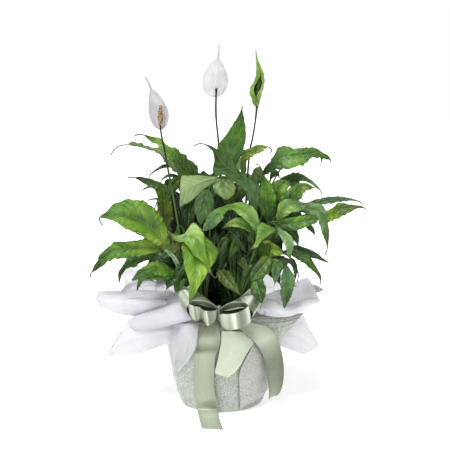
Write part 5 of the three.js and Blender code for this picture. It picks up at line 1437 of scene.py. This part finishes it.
# Radius and height of the sheer collar's rim by azimuth, from the right of the bow round the back, and
# the radius and height of the rows where it is gathered at the neck.
COLLAR_RIM = [
    (-40, 96, 186), (-20, 104, 188), (-5, 110, 194), (8, 118, 200), (18, 128, 206), (27, 142, 210),
    (40, 166, 206), (58, 144, 222), (76, 168, 200), (94, 140, 226), (112, 166, 202), (130, 148, 220),
    (146, 158, 214), (155, 172, 226), (161, 190, 237), (166, 178, 220), (173, 170, 198), (182, 160, 184),
    (192, 140, 178), (205, 118, 180), (218, 102, 184), (232, 92, 190),
]
COLLAR_NECK = [(75.6, 186), (75.8, 200), (75.6, 209), (77, 214), (80, 218)]


def make_collar():
    azimuth = np.linspace(COLLAR_RIM[0][0], COLLAR_RIM[-1][0], 420)
    rim_radius, rim_z = table_at(COLLAR_RIM, azimuth).T
    top_radius, top_z = COLLAR_NECK[-1]
    gather = cosine(azimuth * 31 + 40 * sine(azimuth * 2))
    fine = 2.6 * sine(azimuth * 17 + 25 * sine(azimuth * 5)) + 1.1 * sine(azimuth * 41)
    rows = [turn(azimuth, radius + 0.5 * gather, z) for radius, z in COLLAR_NECK]
    for share in np.linspace(0.06, 1, 26):
        arch = 14 * share * (1 - share) + fine * smooth(0.1, 0.9, share) * 0.8 + 0.8 * gather * (1 - share)
        rows.append(turn(azimuth, mix(top_radius, rim_radius, share), mix(top_z, rim_z, share**1.4) + arch))
    # The edge rolls under itself.
    curl = 4.5 + 1.5 * sine(azimuth * 7 + 40)
    for angle in np.linspace(20, 215, 11):
        z = rim_z + fine * 0.8 - curl * (1 - cosine(angle))
        rows.append(turn(azimuth, rim_radius + curl * sine(angle), z))
    # The collar is darkened by painted shade.
    make_sheet("sheer_collar_cloth", "sheer_wrap", "sheer_collar", np.array(rows), CLOTH, hem=0.4,
               clear=0.9, grey=0.4)


# The lining's collar stands inside it: radius and height of its edge, which dips at the bow. It goes
# straight up from its foot and flares above the given height.
LINING_EDGE = [
    (-88, 74, 187), (-76, 75, 194), (-63, 77, 211), (-48, 76, 220), (0, 76, 222), (60, 76, 223),
    (120, 76, 223), (180, 76, 222), (215, 78, 224), (232, 83, 227), (243, 80, 217), (256, 76, 197),
    (268, 74, 187),
]
LINING_FOOT_RADIUS, LINING_FOOT_Z, LINING_FLARE_Z = 73.2, 184.0, 210.0


def make_lining():
    azimuth = np.linspace(LINING_EDGE[0][0], LINING_EDGE[-1][0], 300)[None]
    edge_radius, edge_z = np.moveaxis(table_at(LINING_EDGE, azimuth), -1, 0)
    share = np.linspace(0, 1, 22)[:, None]
    z = mix(LINING_FOOT_Z, edge_z, share)
    above = edge_z - LINING_FLARE_Z
    flare = np.clip((z - LINING_FLARE_Z) / np.maximum(above, 1), 0, 1) * (above > 0)
    wave = sine(azimuth * 13 + 20) + 0.6 * sine(azimuth * 29)
    radius = mix(LINING_FOOT_RADIUS, edge_radius, flare) - 0.5
    radius = radius + 0.4 * cosine(azimuth * 23) * (1 - flare) + flare * wave
    grid = turn(azimuth, radius, z + 1.6 * share**2 * wave)
    make_sheet("lining_collar_cloth", "lining", "lining_collar", grid, CLOTH, hem=HEM)


make_panel()
make_flap()
make_drape()
make_spreads()
make_collar()
make_lining()

# ---------------------------------------------------------------- ribbon
RIBBON_THICKNESS, RIBBON_WIDTH = 0.6, 38.0
RIBBON_COLUMNS = 15
BAND_RADIUS = NECK_RADIUS + 2.8
BAND_BOTTOM_Z, BAND_TOP_Z = 179.0, 206.5
KNOT_CENTRE, KNOT_HALF = (-4, -94, 165), (7, 7, 13)
LEAST_TAIL_Z = 0.4
# Each loop: points along its middle, the way its width stands, its width as a share of the ribbon's,
# and how much painted shade darkens it.
LOOPS = {
    "right_front": ([(-3, -98, 161), (-1, -110, 151), (12, -119, 147), (29, -123, 149), (45, -117, 156),
                     (52, -105, 164), (44, -97, 169), (26, -94, 170), (8, -94, 168), (-3, -95, 166)],
                    (-0.12, -0.5, 1), 0.96, 0.1),
    "right_back": ([(0, -90, 172), (18, -87, 178), (38, -86, 184), (56, -86, 185), (66, -88, 176),
                    (61, -92, 165), (48, -96, 157), (24, -96, 158), (3, -93, 165)],
                   (0.42, 0.75, 0.42), 0.95, 0.45),
    "left_front": ([(-6, -98, 166), (-13, -113, 158), (-26, -120, 154), (-38, -104, 161), (-48, -116, 163),
                    (-57, -108, 168), (-53, -99, 173), (-32, -96, 174), (-14, -96, 171), (-6, -96, 168)],
                   (-0.12, -0.45, 1), 0.86, 0.15),
    "left_back": ([(-6, -90, 173), (-22, -88, 183), (-44, -86, 192), (-61, -86, 195), (-70, -88, 187),
                   (-66, -92, 173), (-54, -96, 162), (-34, -98, 155), (-14, -96, 161), (-7, -93, 168)],
                  (-0.42, 0.75, 0.46), 0.98, 0.45),
}
# Painted light on the satin by the way it faces, from the left (-1) to the right (1): bands of painted
# highlight and painted shade.
FACING = [-1, -0.85, -0.62, -0.42, -0.25, -0.12, 0.0, 0.1, 0.22, 0.4, 0.58, 0.74, 0.86, 0.95, 1]
FACING_PAINTED_LIGHT = [-0.9, -0.5, 0.25, 0.35, 0.0, 0.55, 1.0, 0.6, -0.2, -0.75, -0.55, 0.1, 0.85, 0.4, -0.3]
# The tails' edges from the knot down. The left one hangs over the wrap first, with its distance from
# the wrap in the place of y, and then lies on the floor.
RIGHT_TAIL_INNER = [
    (4, -96, 148), (20, -98, 139), (40, -98, 130), (55, -94, 117), (64, -86, 106), (73, -77, 92),
    (80, -69, 72), (83, -67, 50), (86, -65, 28), (88, -64, 12), (87, -63, 0),
]
RIGHT_TAIL_OUTER = [
    (8, -94, 158), (36, -94, 153), (62, -88, 145), (84, -76, 139), (99, -64, 123), (108, -54, 101),
    (113, -48, 78), (115, -48, 53), (113, -49, 30), (108, -51, 14), (103, -53, 8),
]
LEFT_TAIL_LEFT = [
    (-24, 10, 150), (-32, 8, 136), (-38, 8, 120), (-42, 7, 104), (-48, 11, 88), (-50, 8, 62), (-51, 7, 35),
    (-50, 9, 12), (-48, 12, -2),
]
LEFT_TAIL_RIGHT = [
    (-5, 10, 150), (-3, 8, 136), (-1, 8, 118), (-4, 10, 100), (-10, 7, 84), (-12, 8, 60), (-13, 7, 35),
    (-11, 9, 12), (-8, 12, -2),
]
FLOOR_TAIL_LEFT = [(-45, -86, -16), (-43, -95, -27), (-41, -110, -36), (-38, -141, -48), (-36, -159, -56)]
FLOOR_TAIL_RIGHT = [(-6, -88, -18), (-5, -97, -28), (-3, -114, -38), (1, -144, -50), (4, -165, -59)]
# Painted light and shade along the tails: shares of their length, and the painted shade at each.
RIGHT_TAIL_PAINTED_SHADE = ((0, 0.25, 0.4, 0.48, 0.6, 0.75, 0.9, 1),
                    (-0.6, -0.4, 0.0, -0.5, -1.05, -1.0, -0.75, -0.5))
LEFT_TAIL_PAINTED_SHADE = ((0, 0.1, 0.18, 0.23, 0.27, 0.31, 0.36, 0.45, 0.6, 0.72, 0.8, 1),
                   (-0.9, -0.55, -0.35, -0.8, -1.1, -0.35, -0.45, -0.5, -0.4, -0.45, -0.1, -0.3))


def make_ribbon(name, node, grid, shade):
    make_sheet(name, "satin", node, grid, RIBBON_THICKNESS, shade=shade)


def make_loops():
    shares = np.linspace(0, 1, 90)
    a = np.linspace(-1, 1, 19)[None]
    pinch = (smooth(0, 0.22, shares) * smooth(1, 0.78, shares))[:, None]
    cup = 0.8 * (1 - a**2) * pinch + 0.9 * np.cos(3.5 * math.pi * a) * (1 - pinch)
    soft = 0.5 * np.sin(5 * shares[:, None] + 2 * a) * pinch
    for name, (line, lean, width, dark) in LOOPS.items():
        curve = catmull(seen(line), shares)
        stand = unit(np.array(lean, float))
        out = unit(np.cross(unit(np.gradient(curve, axis=0)), stand))
        out *= np.sign(np.sum(out * (curve - curve.mean(axis=0))))
        half = RIBBON_WIDTH / 2 * width * mix(0.45, 1.0, pinch)
        grid = curve[:, None] + stand * (half * a)[..., None] + out[:, None] * (cup + soft)[..., None]
        # Painted light: bands of highlight and shade by the way the loop faces, darker near the knot,
        # darker on loops further back and lighter on top; the loop's inner side is painted dark as shade.
        facing = np.interp(out[:, 0], FACING, FACING_PAINTED_LIGHT)[:, None] - 0.25 * (1 - pinch) - dark
        outside_painted_light = facing + 0.12 * a + 0.25 * out[:, 2:]
        inside = mix(-2.0, -0.5, smooth(-0.6, 1.0, a)) + 0.3 * facing
        # A sheet's first side is the one its normals point to.
        outward = np.sum(normals_of(grid) * out[:, None], axis=-1) > 0
        shade = np.where(outward, np.stack([outside_painted_light, inside]), np.stack([inside, outside_painted_light]))
        make_ribbon(f"bow_{name}", f"ribbon_loop_{name}", grid, shade)


def make_knot():
    theta = np.linspace(-1.5, 1.5, 26)
    ball = ball_rings(theta, 40)
    along, across = shares_of(ball)
    ball = np.sign(ball) * np.abs(ball) ** 0.78
    theta, phi = theta[:, None], np.linspace(0, FULL_TURN, 40, endpoint=False)
    fold = 1 + 0.08 * np.cos(5 * phi + 0.6 * np.sin(2 * theta)) * np.cos(theta)
    ball[..., :2] *= fold[..., None]
    ball[..., 0] *= 0.7 + 0.3 * np.abs(np.sin(theta))
    piece = Piece()
    # The knot is painted dark as the shade between the loops, with bands of painted shade round it.
    add_loft(piece, ball * KNOT_HALF + seen(KNOT_CENTRE), along=along, across=across,
             shade=-1.3 + 0.6 * np.cos(10 * math.pi * across + 1))
    piece.make("bow_knot", "satin", "ribbon_knot")


def make_band():
    azimuth, share = np.linspace(-70, 248, 260)[:, None], np.linspace(0, 1, 14)
    folds = 0.5 * np.cos(FULL_TURN * (share * 2.5 + 0.3 * sine(azimuth * 2)))
    folds = folds + 0.25 * sine(azimuth * 15 + share * 90)
    z = mix(BAND_BOTTOM_Z, BAND_TOP_Z, share) + 0.6 * sine(azimuth * 5)
    # Painted light and shade on the band follow its folds, with slow bands round the neck.
    make_ribbon("ribbon_band_satin", "ribbon_band", turn(azimuth, BAND_RADIUS + 0.3 + folds * 0.7, z),
                0.5 * folds + 0.3 * sine(azimuth * 4))


def make_right_tail():
    grid = seen(between(RIGHT_TAIL_INNER, RIGHT_TAIL_OUTER, 96, RIBBON_COLUMNS))
    along, across = shares_of(grid)
    wave = 1.4 * np.sin(9 * along + 1.5) * np.sin(math.pi * across) + 4.4 * (across - 0.5) ** 2
    # Painted shade along the tail, lighter across its middle and darker toward its outer edge.
    shade = np.interp(along, *RIGHT_TAIL_PAINTED_SHADE) + 0.25 * np.sin(math.pi * across) - 0.2 * across
    grid = grid + normals_of(grid) * (wave * smooth(0, 0.15, along))[..., None]
    make_ribbon("tail_right", "ribbon_tail_right", grid, shade)


def make_left_tail():
    hang = straight_across(LEFT_TAIL_LEFT, LEFT_TAIL_RIGHT, 5)
    lie = seen(straight_across(FLOOR_TAIL_LEFT, FLOOR_TAIL_RIGHT, 5))
    lie[..., 2] = np.maximum(lie[..., 2], LEAST_TAIL_Z)
    grid = surface(np.concatenate([draped(*np.moveaxis(hang, -1, 0)), lie]), 130, RIBBON_COLUMNS)
    along, across = shares_of(grid)
    slant = along + 0.03 * (across - 0.5)
    wave = 0.9 * np.sin(14 * along + 0.5) * np.sin(math.pi * across) * smooth(0.72, 0.6, along)
    wave = wave - 3.5 * bell(slant, 0.27, 0.035) * smooth(0.0, 0.4, across)
    # Painted shade along the tail, with a dark band at its twist, lighter across its middle and with faint
    # stripes.
    shade = np.interp(slant, *LEFT_TAIL_PAINTED_SHADE)
    shade = shade + 0.25 * np.sin(math.pi * across) + 0.03 * np.sin(31 * across + 9 * along)
    grid = grid + normals_of(grid) * wave[..., None]
    grid[..., 2] = np.maximum(grid[..., 2], LEAST_TAIL_Z)
    make_ribbon("tail_left", "ribbon_tail_left", grid, shade)


make_loops()
make_knot()
make_band()
make_right_tail()
make_left_tail()


# ---------------------------------------------------------------- camera, light and floor
FLOOR_GAP = 0.0004
# Each light: the way to it from the object, its strength, and how wide it spreads in degrees.
LIGHTS = {
    "key": ((-0.4, -0.6, 1.3), 2.85, 24),
    "fill": ((0.8, -1.0, 0.45), 0.35, 60),
    "rim": ((0.5, 1.0, 0.9), 0.5, 50),
}


def make_studio():
    scene = bpy.context.scene
    camera = bpy.data.cameras.new("camera")
    camera.sensor_width, camera.lens = 36, 96
    camera.clip_start, camera.clip_end = 0.05, 50
    eye = bpy.data.objects.new("camera", camera)
    eye.location = (VIEWER * MM).tolist()
    eye.rotation_euler = (math.pi / 2 - math.atan2(VIEWER[2] - AIM_Z, -VIEWER[1]), 0, 0)
    scene.collection.objects.link(eye)
    scene.camera = eye

    for name, ((x, y, z), strength, spread) in LIGHTS.items():
        light = bpy.data.lights.new(name, "SUN")
        light.energy, light.angle = strength, math.radians(spread)
        lamp = bpy.data.objects.new(name, light)
        lamp.rotation_euler = (math.atan2(math.hypot(x, y), z), 0, math.atan2(x, -y))
        scene.collection.objects.link(lamp)

    # The backdrop is white, and lights the object less than it shows.
    world = bpy.data.worlds.new("studio")
    world.use_nodes = True
    tree = world.node_tree
    ray = tree.nodes.new("ShaderNodeLightPath")
    shown = tree.nodes.new("ShaderNodeMapRange")
    shown.inputs["To Min"].default_value = 0.45
    tree.links.new(ray.outputs["Is Camera Ray"], shown.inputs["Value"])
    backdrop = tree.nodes["Background"]
    backdrop.inputs["Color"].default_value = (1, 1, 1, 1)
    tree.links.new(shown.outputs[0], backdrop.inputs["Strength"])
    scene.world = world
    scene.view_settings.view_transform = "Standard"

    mesh = bpy.data.meshes.new("floor")
    mesh.from_pydata([(-6, -6, 0), (6, -6, 0), (6, 6, 0), (-6, 6, 0)], [], [(0, 1, 2, 3)])
    floor = bpy.data.objects.new("floor", mesh)
    floor.location.z = -FLOOR_GAP
    f = Finish("floor")
    colour = f.over((246, 246, 246), (f.step(f.noise(3.0), 0.3, 0.7), (250, 250, 250)))
    mesh.materials.append(f.end(f.skin(colour, 0.8, Emission_Color=(255, 255, 255), Emission_Strength=0.4)))
    scene.collection.objects.link(floor)


make_studio()

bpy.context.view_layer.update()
